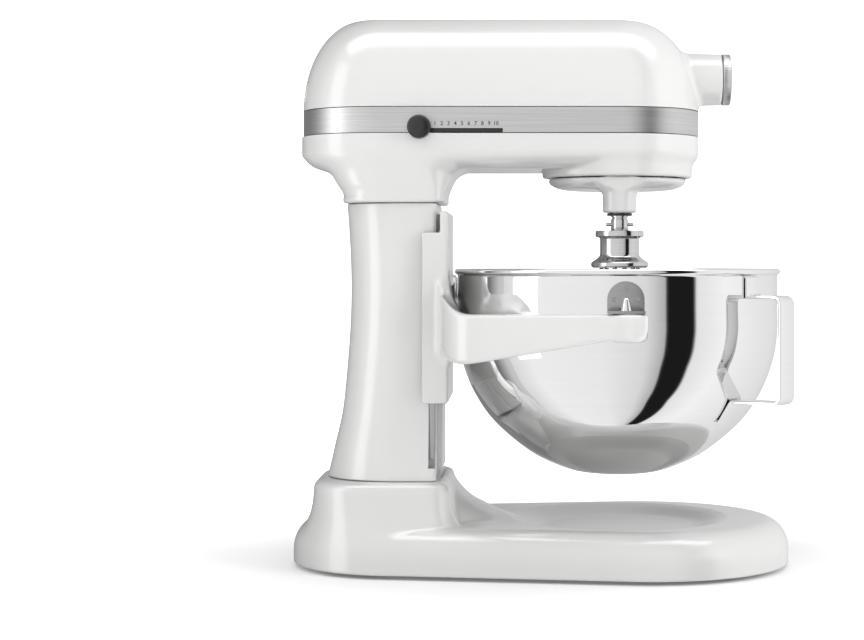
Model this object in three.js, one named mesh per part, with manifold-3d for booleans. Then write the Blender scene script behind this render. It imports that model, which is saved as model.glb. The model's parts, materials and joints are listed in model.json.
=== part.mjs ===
// A bowl-lift stand mixer with its bowl, its whisk and its whole drive train.
// Millimetres. The origin is on the table under the middle of the base, +X points to the
// front, where the attachment hub is, and +Z points up.
import * as THREE from 'three';
import { mergeVertices } from 'three/addons/utils/BufferGeometryUtils.js';
import Module from 'manifold-3d';

const wasm = await Module();
wasm.setup();

// ---------------------------------------------------------------- driving dimensions
const GAP = 0.3; // clearance between neighbouring pieces
const RAD = Math.PI / 180;

const BASE = { rearX: -105.7, rearR: 84, frontX: 77.7, frontR: 112, bottom: 3, wallTop: 14, top: 36.6 };
const BASE_ROUND = 20; // how far the rounded upper edge runs inwards
const SEAT_TOP = 69; // top of the raised seat that carries the column
const TONGUE_TOP = 73.2; // top of the hump on the base that covers the column's foot in front
const DISH = { x: 60, r: 86, flatR: 55, depth: 7 };
const FOOT = { r: 11, height: 6 };

const COLUMN = { bottom: SEAT_TOP + GAP, top: 276.2, front: -78.5, wall: 5 };
const RAIL = { front: -74.8, halfWidth: 30, bottom: 75, top: 268 }; // what the bowl support slides on
const NECK_BOTTOM = 276.5;
const UNDERSIDE = 302; // underside of the gear housing
const BAND = { bottom: 327.8, top: 347.2, wall: 2.2 };
const HEAD = { rear: -182.7, front: 121, halfWidth: 60, top: 417 };

const BEATER_AXIS_X = 58.6; // axis of the planetary drive and of the bowl
const SKIRT = { r: 57.5, bottom: 296.2, innerR: 53.2, innerTop: 303.5 };
const CARRIER = { r: 52.8, bottom: 287, top: 295.5 };
const ORBIT = 39; // from the planetary axis to the beater shaft
const BEATER_Y = -ORBIT; // the beater shaft stands on the near side at rest

const MOTOR_Z = 345; // height of the armature axis
const HUB_Z = 372.4; // height of the attachment hub's axis
const HUB = { knobX: 130, boreR: 13.2, front: 138.6 };
const GLAND = { x: -128, z: 319 }; // where the power cord enters
const INTERMEDIATE = { x: 30, y: 30 }; // the vertical shaft between worm and centre gear
const CENTRE_GEAR = { teeth: 36, bottom: 313, top: 323 };
const DRIVE_PINION_TEETH = 12;
const WORM = { r: 8, starts: 3, from: 19, to: 41 };
const WORM_WHEEL = { teeth: 24, r: INTERMEDIATE.y - WORM.r, width: 9 };
const RING_TEETH = 60;
const BEATER_PINION_TEETH = 12;
const PLANET_MODULE = 2 * ORBIT / (RING_TEETH - BEATER_PINION_TEETH);
const MITRE = { teeth: 12, r: 12, face: 5 };

const BOWL = { x: 58.4, rimR: 125, wallR: 122.8, top: 227, bottom: 69.8, sheet: 1.2 };
const FORK = { reach: 200, halfWidth: 141, corner: 40, thickness: 13.5, clearR: 126.6 };
const HANDLE = { angle: -39.5, width: 19, reach: 153.5, top: 207.7, bottom: 128.3, strap: 2.5 };
const PIN = { x: 58.6, y: 130, bottom: 195, top: 206.5 };
const SLIDE = { back: -74.4, front: -69.6, flangeY: 54, plate: 3.5, bottom: 126.8, flangeTop: 254, top: 270 };

const LIFT = { x: -112, z: 165, crank: 24, crankAngle: 135, lugZ: 212, leverY: 64, leverLength: 78 };
const SPEED = { x: -90.7, z: 331.7, knobR: 8.7, slotFrom: -96, slotTo: -29 };

// ---------------------------------------------------------------- finishes
const FINISH = {
  enamel: { color: 0xf2f2f1, roughness: 0.12, metalness: 0.0 },
  brushed: { color: 0xb9b9b8, roughness: 0.38, metalness: 1.0 },
  polished: { color: 0xd8d8d8, roughness: 0.06, metalness: 1.0 },
  steel: { color: 0x9a9c9e, roughness: 0.3, metalness: 1.0 },
  castIron: { color: 0x5c5e60, roughness: 0.6, metalness: 0.9 },
  brass: { color: 0xb08d4a, roughness: 0.35, metalness: 1.0 },
  copper: { color: 0xb4653a, roughness: 0.4, metalness: 1.0 },
  black: { color: 0x1d1d1e, roughness: 0.45, metalness: 0.0 },
  rubber: { color: 0x2a2a2a, roughness: 0.9, metalness: 0.0 },
  nylon: { color: 0xe6e2d6, roughness: 0.5, metalness: 0.0 },
  board: { color: 0x2f6b3c, roughness: 0.6, metalness: 0.0 },
};

// ---------------------------------------------------------------- from geometry to solid
// Six times the signed volume of an indexed mesh: negative when its faces point inwards.
function signedVolume(position, index) {
  const [a, b, c] = [new THREE.Vector3(), new THREE.Vector3(), new THREE.Vector3()];
  let sum = 0;
  for (let i = 0; i < index.length; i += 3) {
    a.fromArray(position, 3 * index[i]);
    b.fromArray(position, 3 * index[i + 1]);
    c.fromArray(position, 3 * index[i + 2]);
    sum += a.dot(b.cross(c));
  }
  return sum;
}

// A three.js geometry as a solid, with its seams welded and its faces pointing out.
function solid(geometry) {
  const bare = geometry.clone();
  bare.deleteAttribute('normal');
  bare.deleteAttribute('uv');
  const welded = mergeVertices(bare, 1e-3);
  const position = welded.getAttribute('position').array;
  const triangles = [];
  const index = welded.getIndex().array;
  for (let i = 0; i < index.length; i += 3) {
    const [p, q, r] = [index[i], index[i + 1], index[i + 2]];
    if (p !== q && q !== r && r !== p) triangles.push(p, q, r);
  }
  if (signedVolume(position, triangles) < 0) triangles.reverse();
  return new wasm.Manifold(new wasm.Mesh({
    numProp: 3,
    vertProperties: new Float32Array(position),
    triVerts: new Uint32Array(triangles),
  }));
}

function join(...solids) {
  return solids.reduce((whole, next) => whole.add(next));
}

function cut(whole, ...tools) {
  return tools.reduce((rest, tool) => rest.subtract(tool), whole);
}

function geometryOf(made) {
  const { vertProperties, triVerts } = made.getMesh();
  const geometry = new THREE.BufferGeometry();
  geometry.setAttribute('position', new THREE.BufferAttribute(new Float32Array(vertProperties), 3));
  geometry.setIndex(new THREE.BufferAttribute(new Uint32Array(triVerts), 1));
  geometry.computeVertexNormals();
  return geometry;
}

const mixer = new THREE.Group();
mixer.name = 'stand_mixer';

function piece(name, made, finish) {
  const mesh = new THREE.Mesh(geometryOf(made), new THREE.MeshStandardMaterial(FINISH[finish]));
  mesh.name = name;
  mixer.add(mesh);
}

// ---------------------------------------------------------------- simple shapes
function block([x0, x1], [y0, y1], [z0, z1]) {
  const box = new THREE.BoxGeometry(x1 - x0, y1 - y0, z1 - z0);
  return solid(box.translate((x0 + x1) / 2, (y0 + y1) / 2, (z0 + z1) / 2));
}

// A round bar along 'x', 'y' or 'z' between two stations, tapering from r0 to r1.
function bar(axis, [from, to], [x, y, z], r0, r1 = r0, sides = 24) {
  const cylinder = new THREE.CylinderGeometry(r1, r0, to - from, sides);
  const middle = (from + to) / 2;
  if (axis === 'x') return solid(cylinder.rotateZ(-90 * RAD).translate(middle, y, z));
  if (axis === 'y') return solid(cylinder.translate(x, middle, z));
  return solid(cylinder.rotateX(90 * RAD).translate(x, y, middle));
}

// A turned shape: [radius, height] points from the axis round to the axis, about +Z at (x, y).
function turned(points, [x, y], sides = 32) {
  const profile = points.map(([r, z]) => new THREE.Vector2(r, z));
  const lathe = new THREE.LatheGeometry(profile, sides);
  return solid(lathe.rotateX(90 * RAD).translate(x, y, 0));
}

// A tube or washer about +Z.
function sleeve([from, to], [x, y], outerR, innerR, sides = 24) {
  const wall = [[innerR, from], [outerR, from], [outerR, to], [innerR, to], [innerR, from]];
  return turned(wall, [x, y], sides);
}

// A skin over a stack of rings that all have the same number of points, closed at both ends.
function loft(rings) {
  const count = rings[0].length;
  const points = rings.flat();
  const last = (rings.length - 1) * count;
  const index = [];
  for (let layer = 0; layer < rings.length - 1; layer++) {
    for (let i = 0; i < count; i++) {
      const [a, b] = [layer * count + i, layer * count + (i + 1) % count];
      index.push(a, b, b + count, a, b + count, a + count);
    }
  }
  for (const [start, flip] of [[0, true], [last, false]]) {
    const middle = new THREE.Vector3();
    for (let i = 0; i < count; i++) middle.add(points[start + i]);
    points.push(middle.divideScalar(count));
    for (let i = 0; i < count; i++) {
      const [a, b] = [start + i, start + (i + 1) % count];
      if (flip) index.push(points.length - 1, b, a);
      else index.push(points.length - 1, a, b);
    }
  }
  const geometry = new THREE.BufferGeometry().setFromPoints(points);
  geometry.setIndex(index);
  return solid(geometry);
}

// ---------------------------------------------------------------- outlines in plan
function arc(x, y, r, from, to, steps) {
  return Array.from({ length: steps + 1 }, (_, i) => {
    const angle = (from + (to - from) * i / steps) * RAD;
    return new THREE.Vector3(x + r * Math.cos(angle), y + r * Math.sin(angle), 0);
  });
}

function raised(outline, z) {
  return outline.map((p) => new THREE.Vector3(p.x, p.y, z));
}

// The hull of a rear and a front circle, drawn in by inset.
function eggOutline(rearX, rearR, frontX, frontR, inset = 0, steps = 12) {
  const turn = Math.acos((rearR - frontR) / (frontX - rearX)) / RAD;
  const front = arc(frontX, 0, frontR - inset, -turn, turn, steps);
  const rear = arc(rearX, 0, rearR - inset, turn, 360 - turn, steps);
  return [...front, ...rear];
}

function headOutline(inset, steps = 10) {
  const { rear, front, halfWidth: r } = HEAD;
  return eggOutline(rear + r, r, front - r, r, inset, steps);
}

function roundedOutline(x0, x1, halfWidth, rearR, frontR = rearR, steps = 5) {
  const [left, right] = [x0 + rearR, x1 - frontR];
  return [
    ...arc(right, halfWidth - frontR, frontR, 0, 90, steps),
    ...arc(left, halfWidth - rearR, rearR, 90, 180, steps),
    ...arc(left, rearR - halfWidth, rearR, 180, 270, steps),
    ...arc(right, frontR - halfWidth, frontR, 270, 360, steps),
  ];
}

// Rounded rectangles given as rows of [height, rear x, front x, half-width, corner radius], with
// the front corners' radius last where it is another one.
function casting(rows) {
  return loft(rows.map(([z, ...plan]) => raised(roundedOutline(...plan), z)));
}

// ---------------------------------------------------------------- gears
// Straight-sided teeth around a circle. The middle of one tooth stands at the angle phase.
function gearOutline(teeth, pitchR, phase, { tip = 1.0, root = 1.5, share = 0.5 } = {}) {
  const pitch = 360 / teeth;
  const outline = [];
  for (let i = 0; i < teeth; i++) {
    const middle = phase + i * pitch;
    for (const [offset, r] of [[-share, pitchR - root], [-share * 0.42, pitchR + tip],
      [share * 0.42, pitchR + tip], [share, pitchR - root]]) {
      const angle = (middle + offset * pitch / 2) * RAD;
      outline.push(new THREE.Vector3(r * Math.cos(angle), r * Math.sin(angle), 0));
    }
  }
  return outline;
}

function spurGear(teeth, pitchR, phase, [from, to], [x, y], twist = 0) {
  const ring = (z, turn) => gearOutline(teeth, pitchR, phase + turn)
    .map((p) => new THREE.Vector3(x + p.x, y + p.y, z));
  return loft([ring(from, -twist / 2), ring(to, twist / 2)]);
}

// ---------------------------------------------------------------- stand
function basePlan(inset) {
  return eggOutline(BASE.rearX, BASE.rearR, BASE.frontX, BASE.frontR, inset);
}

function makeBase() {
  const rings = [raised(basePlan(2), BASE.bottom), raised(basePlan(0), BASE.bottom + 2)];
  const steps = 4;
  for (let i = 0; i <= steps; i++) {
    const angle = 90 * RAD * i / steps;
    const inset = BASE_ROUND * (1 - Math.cos(angle));
    rings.push(raised(basePlan(inset), BASE.wallTop + (BASE.top - BASE.wallTop) * Math.sin(angle)));
  }
  const seat = casting([
    [14, -189.4, -38, 83.6, 83, 40], [19, -188.2, -43, 82, 78, 34], [25, -185, -50, 79.4, 70, 28],
    [31, -181, -56, 76.4, 62, 24], [36, -178, -60, 73.8, 56, 20], [42, -175.5, -63.5, 71.5, 52, 18],
    [50, -173.5, -66.5, 69.5, 48, 16], [60, -172.2, -68, 68.2, 44, 15], [64.5, -170.6, -68.2, 67.2, 42, 15],
    [67.5, -167.6, -69.4, 65.4, 38, 14], [SEAT_TOP, -163.8, -71.4, 62.6, 34, 12],
  ]);
  const tongue = casting([
    [30, -90, -6, 68, 40], [35, -90, -14, 66, 36], [38, -90, -22.4, 63, 32], [42, -88, -33, 58, 27],
    [47, -86, -43.4, 53.6, 20], [50.7, -84, -50.5, 51, 15], [57, -80, -58.4, 48.6, 9],
    [64, -76, -64.7, 46.6, 5], [SEAT_TOP, SLIDE.back, -67.6, 45, 3], [71.4, SLIDE.back, -68.8, 44.2, 2.4],
    [TONGUE_TOP, SLIDE.back, -71, 43, 1.6],
  ]);
  const floor = BASE.top - DISH.depth;
  const rim = BASE.top + 0.4;
  const dish = turned([[0, floor], [DISH.flatR, floor], [DISH.flatR + 16, floor + 2.4],
    [DISH.r, rim], [DISH.r + 14, 60], [0, 60]], [DISH.x, 0], 32);
  const hollow = loft([raised(basePlan(6), 0), raised(basePlan(6), 12), raised(basePlan(11), 24)]);
  const seatHollow = casting([[20, -178, -50, 70, 60], [31, -171, -64, 66, 50], [42, -167, -69, 64, 46],
    [SEAT_TOP - 5, -161, -78, 58, 34]]);
  const wireway = casting([[SEAT_TOP - 8, -150, -90, 34, 12], [SEAT_TOP + 5, -150, -90, 34, 12]]);
  const shell = cut(join(loft(rings), seat, tongue), dish, hollow, seatHollow, wireway);
  return join(shell, ...footBosses());
}

const FEET = [
  ['foot_front_left', 128, 62], ['foot_front_right', 128, -62],
  ['foot_rear_left', -132, 44], ['foot_rear_right', -132, -44], ['foot_middle', 20, 0],
];

// Posts inside the base that the feet are screwed to. The rear ones reach up into the seat.
function footBosses() {
  const r = FOOT.r + 2;
  return FEET.map(([, x, y]) => {
    const top = x < BASE.rearX ? SEAT_TOP - 4 : 26;
    return bar('z', [FOOT.height + GAP, top], [x, y, 0], r, r, 16);
  });
}

function makeFeet() {
  for (const [name, x, y] of FEET) {
    piece(name, bar('z', [0, FOOT.height], [x, y, 0], FOOT.r - 1, FOOT.r, 16), 'rubber');
  }
}

function makeColumn() {
  const front = COLUMN.front;
  const outer = casting([
    [COLUMN.bottom, -163.4, front, 60, 45, 6], [79, -161, front, 56.2, 43, 6], [95, -158, front, 51.4, 41, 6],
    [110, -154, front, 48.8, 39, 6], [141, -149.6, front, 48, 38, 6], [195, -145.8, front, 48.8, 38, 6],
    [234, -145.8, front, 50.6, 38, 6], [COLUMN.top, -148.4, front, 52, 39, 6],
  ]);
  const wall = COLUMN.wall;
  const inner = casting([
    [COLUMN.bottom - 5, -156, front - wall, 52, 35, 4], [95, -152, front - wall, 46, 32, 4],
    [141, -144.6, front - wall, 43, 29, 4], [195, -140.8, front - wall, 43.8, 29, 4],
    [COLUMN.top + 5, -142, front - wall, 46, 29, 4],
  ]);
  const rail = block([front - 2, RAIL.front], [-RAIL.halfWidth, RAIL.halfWidth], [RAIL.bottom, RAIL.top]);
  const linkSlot = block([front - 10, front + 6], [-8, 8], [LIFT.lugZ - 46, LIFT.lugZ + 12]);
  const shaftBore = bar('y', [20, 70], [LIFT.x, 0, LIFT.z], 8.3);
  return cut(join(outer, rail), inner, linkSlot, shaftBore);
}

// ---------------------------------------------------------------- head
function makeLowerHousing() {
  const sides = [[UNDERSIDE, 20], [303.4, 14], [306, 8.6], [310, 3.4], [314, 0.7], [BAND.bottom - GAP, 0]];
  const tub = loft(sides.map(([z, inset]) => raised(headOutline(inset), z)));
  const neck = casting([
    [NECK_BOTTOM, -149.6, -73.4, 54.6, 28], [278.6, -151.4, -71.6, 57, 29],
    [283, -150.4, -72, 56, 29], [289, -153.6, -70, 56.4, 31], [295, -157.2, -66, 57.2, 34],
    [302, -163.4, -58, 58.4, 38], [308, -174, -46, 59.2, 50], [313, -181, -32, 59.4, 58],
  ]);
  const skirt = bar('z', [SKIRT.bottom, 313], [BEATER_AXIS_X, 0, 0], SKIRT.r - 0.8, SKIRT.r, 40);
  const roomSides = [[306.5, 15], [311, 7.4], [316, 4.6], [BAND.bottom + 5, 4]];
  const room = loft(roomSides.map(([z, inset]) => raised(headOutline(inset), z)));
  const neckway = casting([[NECK_BOTTOM - 5, -144, -79, 50, 18], [309, -144, -79, 50, 18]]);
  const skirtRoom = bar('z', [290, SKIRT.innerTop], [BEATER_AXIS_X, 0, 0], SKIRT.innerR, SKIRT.innerR, 40);
  const shaftBore = bar('z', [300, 310], [BEATER_AXIS_X, 0, 0], 9);
  const shell = cut(join(tub, neck, skirt), room, neckway, skirtRoom, shaftBore);
  const glandBore = bar('y', [50, 70], [GLAND.x, 0, GLAND.z], 5.6, 5.6, 20);
  return cut(shell, glandBore);
}

function makeTrimBand() {
  const ring = (inset, z) => raised(headOutline(inset), z);
  const outer = loft([ring(0, BAND.bottom), ring(0, BAND.top)]);
  const inner = loft([ring(BAND.wall, BAND.bottom - 5), ring(BAND.wall, BAND.top + 5)]);
  const slot = block([SPEED.slotFrom, SPEED.slotTo], [-70, -50], [BAND.bottom - 5, 331.2]);
  return cut(outer, inner, slot);
}

// The cover's edge rounds over like a quarter ellipse that is longer at the rear.
function coverRing(angle, inset) {
  const rise = Math.sin(angle);
  const draw = 1 - Math.cos(angle);
  const bottom = BAND.top + GAP;
  const z = bottom + (HEAD.top - inset - bottom) * rise;
  const rear = HEAD.rear + inset + 46 * draw;
  const front = HEAD.front - inset - 52 * draw;
  const halfWidth = HEAD.halfWidth - inset - 46 * draw;
  return raised(eggOutline(rear + halfWidth, halfWidth, front - halfWidth, halfWidth, 0, 10), z);
}

function coverStack(inset, lastAngle, start) {
  const steps = inset ? 4 : 6;
  const rings = [raised(coverRing(0, inset), start)];
  for (let i = inset ? 0 : 1; i <= steps; i++) rings.push(coverRing(lastAngle * RAD * i / steps, inset));
  return loft(rings);
}

function makeTopCover() {
  const bottom = BAND.top + GAP;
  const outer = coverStack(0, 80, bottom);
  const crownRing = coverRing(80 * RAD, 0);
  const middle = (HEAD.rear + HEAD.front) / 2;
  const peak = crownRing.map((p) => new THREE.Vector3(middle + (p.x - middle) * 0.4, p.y * 0.4, HEAD.top));
  const crown = loft([crownRing, peak]);
  const inner = coverStack(3.5, 80, bottom - 5);
  const hubBore = bar('x', [80, 130], [0, 0, HUB_Z], 20.6, 20.6, 28);
  const vents = [-18, -9, 0, 9, 18].map((y) => block([-190, -165], [y - 2, y + 2], [354, 366]));
  return cut(join(outer, crown), inner, hubBore, ...vents);
}

function makeHubHousing() {
  const rings = [[98, 18.5], [106, 19.9], [119, 20], [HUB.front, 19.6]];
  const outer = rings.slice(1).map(([x, r], i) => {
    const [from, startR] = rings[i];
    return bar('x', [from, x], [0, 0, HUB_Z], startR, r, 28);
  });
  const bore = bar('x', [104, 145], [0, 0, HUB_Z], HUB.boreR);
  const spindleBore = bar('x', [90, 110], [0, 0, HUB_Z], 7.4);
  const screwBore = bar('y', [10, 25], [HUB.knobX, 0, HUB_Z], 3.3, 3.3, 16);
  return cut(join(...outer), bore, spindleBore, screwBore);
}

function makeHubCap() {
  const back = HUB.front + 0.4;
  const plug = bar('x', [129.5, back + 0.2], [0, 0, HUB_Z], HUB.boreR - 0.6);
  const disc = bar('x', [back, back + 6.4], [0, 0, HUB_Z], 19.75, 19.4, 28);
  const dimple = bar('x', [back + 4.8, back + 11], [0, 0, HUB_Z], 15.4);
  return cut(join(plug, disc), dimple);
}

// The thumb knob that clamps an attachment in the hub, on the far side.
function makeHubKnob() {
  const stem = bar('y', [14.2, 24], [HUB.knobX, 0, HUB_Z], 2.9, 2.9, 16);
  const head = bar('y', [24, 38], [HUB.knobX, 0, HUB_Z], 10, 9, 24);
  return join(stem, head);
}

function makeCordGland() {
  const neck = bar('y', [54, 62], [GLAND.x, 0, GLAND.z], 5.3, 5.3, 20);
  const collarEnd = bar('y', [60.4, 64], [GLAND.x, 0, GLAND.z], 8, 7, 20);
  return join(neck, collarEnd);
}

// ---------------------------------------------------------------- speed control
// A flat lever that reaches in through the slot and carries the contact plate inside.
function makeSpeedLever() {
  const stem = block([SPEED.x - 2.5, SPEED.x + 2.5], [-64, -44], [328.4, 330.6]);
  const plate = block([SPEED.x - 10, SPEED.x + 10], [-50, -48], [328.4, 342]);
  return join(stem, plate);
}

function makeSpeedKnob() {
  const knob = bar('y', [-74, -61], [SPEED.x, 0, SPEED.z], SPEED.knobR, SPEED.knobR, 28);
  const pocket = block([SPEED.x - 2.8, SPEED.x + 2.8], [-66, -55], [328.1, 330.9]);
  return cut(knob, pocket);
}

// ---------------------------------------------------------------- motor
const CORE = [-130, -85]; // the iron cores of stator and armature, along the shaft
const SHAFT_R = 4;
const COIL = { along: [-136, -79], half: 20, windowHalf: 12, from: 25.6, to: 31 };

function alongX([from, to], r, sides = 24) {
  return bar('x', [from, to], [0, 0, MOTOR_Z], r, r, sides);
}

// The armature shaft with the three-start worm cut on its front end.
function makeArmatureShaft() {
  const lead = WORM.starts * 2 * Math.PI * WORM_WHEEL.r / WORM_WHEEL.teeth;
  const steps = 24;
  const rings = [];
  for (let i = 0; i <= steps; i++) {
    const x = WORM.from + (WORM.to - WORM.from) * i / steps;
    const phase = 360 * (x - INTERMEDIATE.x) / lead;
    const outline = gearOutline(WORM.starts, WORM.r, phase, { tip: 0.8, root: 1.6, share: 0.42 });
    rings.push(outline.map((p) => new THREE.Vector3(x, p.x, MOTOR_Z + p.y)));
  }
  const rear = alongX([-168, WORM.from + 0.5], SHAFT_R, 20);
  const front = alongX([WORM.to - 0.5, 48], SHAFT_R, 20);
  return join(loft(rings), rear, front);
}

function makeFan() {
  const hub = alongX([-72, -62], 9, 20);
  const plate = alongX([-64, -62], 30, 28);
  const blades = [];
  for (let i = 0; i < 8; i++) {
    const blade = new THREE.BoxGeometry(9, 20, 1.6).translate(-67.6, 18.5, 0);
    blades.push(solid(blade.rotateX(45 * i * RAD).translate(0, 0, MOTOR_Z)));
  }
  return cut(join(hub, plate, ...blades), alongX([-80, -55], SHAFT_R + GAP, 20));
}

function collar([from, to], outerR, innerR, sides = 24) {
  return cut(alongX([from, to], outerR, sides), alongX([from - 1, to + 1], innerR, 20));
}

// The lower and upper side of a winding above (1) or below (-1) the armature, grown by spare.
function coilLevels(side, spare = 0) {
  const levels = [MOTOR_Z + side * (COIL.from - spare), MOTOR_Z + side * (COIL.to + spare)];
  return levels.sort((a, b) => a - b);
}

// A field winding, wound flat above or below the armature.
function makeCoil(side) {
  const outer = block(COIL.along, [-COIL.half, COIL.half], coilLevels(side));
  const { windowHalf } = COIL;
  const window = block([CORE[0] - 0.5, CORE[1] + 0.5], [-windowHalf, windowHalf], coilLevels(side, 5));
  return cut(outer, window);
}

function makeStator() {
  const core = collar(CORE, 37.5, 24, 36);
  const [inside, outside] = [COIL.windowHalf - GAP, COIL.half + GAP];
  const grooves = [];
  for (const side of [-1, 1]) {
    for (const y of [[-outside, -inside], [inside, outside]]) {
      grooves.push(block([CORE[0] - 10, CORE[1] + 10], y, coilLevels(side, GAP)));
    }
  }
  return cut(core, ...grooves);
}

// A bearing bracket: a post on the housing's floor, with a hub round the shaft.
function makeBearingBracket(x) {
  const hub = alongX([x - 4, x + 4], 11, 20);
  const post = block([x - 1.5, x + 1.5], [-14, 14], [307, MOTOR_Z]);
  return cut(join(hub, post), alongX([x - 6, x + 6], SHAFT_R + GAP, 20));
}

function makeBrushHolder(side) {
  const span = [side * 11.4, side * 40].sort((a, b) => a - b);
  return bar('y', span, [-146, 0, MOTOR_Z], 6, 6, 20);
}

// ---------------------------------------------------------------- gear train
const meshAngle = Math.atan2(INTERMEDIATE.y, INTERMEDIATE.x - BEATER_AXIS_X) / RAD;
const centreDistance = Math.hypot(INTERMEDIATE.y, INTERMEDIATE.x - BEATER_AXIS_X);
const centreGearR = centreDistance * CENTRE_GEAR.teeth / (CENTRE_GEAR.teeth + DRIVE_PINION_TEETH);
const drivePinionR = centreDistance - centreGearR;
const PLANET_AXIS = [BEATER_AXIS_X, 0];
const COUNTER_AXIS = [INTERMEDIATE.x, INTERMEDIATE.y];
const BEATER_AXIS = [BEATER_AXIS_X, BEATER_Y];
const PINION_SPAN = [297, 302.6]; // where the beater's pinion runs in the ring gear
const BEATER_SHAFT_R = 6.5;

function makeCentreGear() {
  const halfPitch = 180 / CENTRE_GEAR.teeth;
  const disc = spurGear(CENTRE_GEAR.teeth, centreGearR, meshAngle + halfPitch,
    [CENTRE_GEAR.bottom, CENTRE_GEAR.top], PLANET_AXIS);
  return cut(disc, bar('z', [300, 330], [...PLANET_AXIS, 0], 6 + GAP));
}

function makeIntermediateShaft() {
  const pinion = spurGear(DRIVE_PINION_TEETH, drivePinionR, meshAngle + 180,
    [CENTRE_GEAR.bottom - 1, CENTRE_GEAR.top + 1], COUNTER_AXIS);
  return join(pinion, bar('z', [308.5, 362], [...COUNTER_AXIS, 0], 5, 5, 20));
}

// The worm wheel's teeth lean with the worm's lead angle.
function makeWormWheel() {
  const { teeth, r, width } = WORM_WHEEL;
  const lead = WORM.starts * 2 * Math.PI * r / teeth;
  const lean = lead / (2 * Math.PI * WORM.r);
  const twist = lean * width / r / RAD;
  const span = [MOTOR_Z - width / 2, MOTOR_Z + width / 2];
  const disc = spurGear(teeth, r, -90 + 180 / teeth, span, COUNTER_AXIS, twist);
  return cut(disc, bar('z', [330, 360], [...COUNTER_AXIS, 0], 5 + GAP, 5 + GAP, 20));
}

// A mitre gear's cone, standing on +Z with its apex at the origin's height.
function mitreCone(phase) {
  const { teeth, r, face } = MITRE;
  const ring = (scale) => {
    const tooth = { tip: 0.5 * scale, root: 1.7 * scale, share: 0.42 };
    return gearOutline(teeth, r * scale, phase, tooth).map((p) => new THREE.Vector3(p.x, p.y, -r * scale));
  };
  return loft([ring(1), ring((r - face) / r)]);
}

function makeCentreMitre() {
  const cone = geometryOf(mitreCone(0)).translate(BEATER_AXIS_X, 0, HUB_Z);
  const boss = bar('z', [HUB_Z - MITRE.r - 5, HUB_Z - MITRE.r], [...PLANET_AXIS, 0], 8);
  const bore = bar('z', [340, HUB_Z - MITRE.r + MITRE.face - 1.5], [...PLANET_AXIS, 0], 5 + GAP, 5 + GAP, 20);
  return cut(join(solid(cone), boss), bore);
}

// The attachment spindle: its mitre gear at the rear and a square socket at the front.
function makeHubSpindle() {
  const cone = geometryOf(mitreCone(180 / MITRE.teeth)).rotateY(-90 * RAD).translate(BEATER_AXIS_X, 0, HUB_Z);
  const shaft = bar('x', [BEATER_AXIS_X + MITRE.r, 112], [0, 0, HUB_Z], 7, 7);
  const collarEnd = bar('x', [104.4, 126], [0, 0, HUB_Z], 10, 10, 28);
  const socket = block([110, 130], [-5, 5], [HUB_Z - 5, HUB_Z + 5]);
  return cut(join(solid(cone), shaft, collarEnd), socket);
}

function makeCentreShaft() {
  return join(
    bar('z', [CARRIER.top + GAP, HUB_Z - MITRE.r + MITRE.face - 2], [...PLANET_AXIS, 0], 5, 5, 20),
    bar('z', [CARRIER.top + GAP, 330], [...PLANET_AXIS, 0], 6, 6, 24),
  );
}

function makeRingGear() {
  const tooth = { tip: 1.7, root: 1.1, share: 0.55 };
  const toothed = gearOutline(RING_TEETH, PLANET_MODULE * RING_TEETH / 2, 0, tooth);
  const shift = (z) => toothed.map((p) => new THREE.Vector3(BEATER_AXIS_X + p.x, p.y, z));
  const outerR = SKIRT.innerR - 0.6;
  const body = bar('z', [PINION_SPAN[0], SKIRT.innerTop - GAP], [...PLANET_AXIS, 0], outerR, outerR, 36);
  return cut(body, loft([shift(290), shift(310)]));
}

function makeCarrier() {
  const { r, bottom, top } = CARRIER;
  const disc = turned([[0, bottom], [r - 18, bottom + 0.4], [r - 8, bottom + 2], [r - 2, bottom + 4.8],
    [r, bottom + 7.4], [r, top], [0, top]], PLANET_AXIS, 40);
  const boss = turned([[0, 268.9], [10.6, 268.9], [12.75, 271], [12.75, 281], [14, 285], [17.5, 289.6],
    [0, 289.6]], BEATER_AXIS, 24);
  const reach = bar('z', [250, 300], [...PLANET_AXIS, 0], r, r, 40);
  const bore = bar('z', [260, 300], [...BEATER_AXIS, 0], BEATER_SHAFT_R + GAP);
  return cut(join(disc, boss.intersect(reach)), bore);
}

// ---------------------------------------------------------------- beater shaft and whisk
const DRIVE_PIN = { z: 260, reach: 10.5, r: 1.2 };

function makeBeaterShaft() {
  const shaft = bar('z', [252, PINION_SPAN[1]], [...BEATER_AXIS, 0], BEATER_SHAFT_R);
  const acrossShaft = [BEATER_AXIS_X - 20, BEATER_AXIS_X + 20];
  const pinBore = bar('x', acrossShaft, [0, BEATER_Y, DRIVE_PIN.z], DRIVE_PIN.r + GAP, DRIVE_PIN.r + GAP, 12);
  return cut(shaft, pinBore);
}

function makeDrivePin() {
  const span = [BEATER_AXIS_X - DRIVE_PIN.reach, BEATER_AXIS_X + DRIVE_PIN.reach];
  return bar('x', span, [0, BEATER_Y, DRIVE_PIN.z], DRIVE_PIN.r, DRIVE_PIN.r, 12);
}

function makeBeaterPinion() {
  const r = PLANET_MODULE * BEATER_PINION_TEETH / 2;
  const wheel = spurGear(BEATER_PINION_TEETH, r, -90, PINION_SPAN, BEATER_AXIS);
  return cut(wheel, bar('z', [290, 310], [...BEATER_AXIS, 0], BEATER_SHAFT_R + GAP));
}

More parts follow.
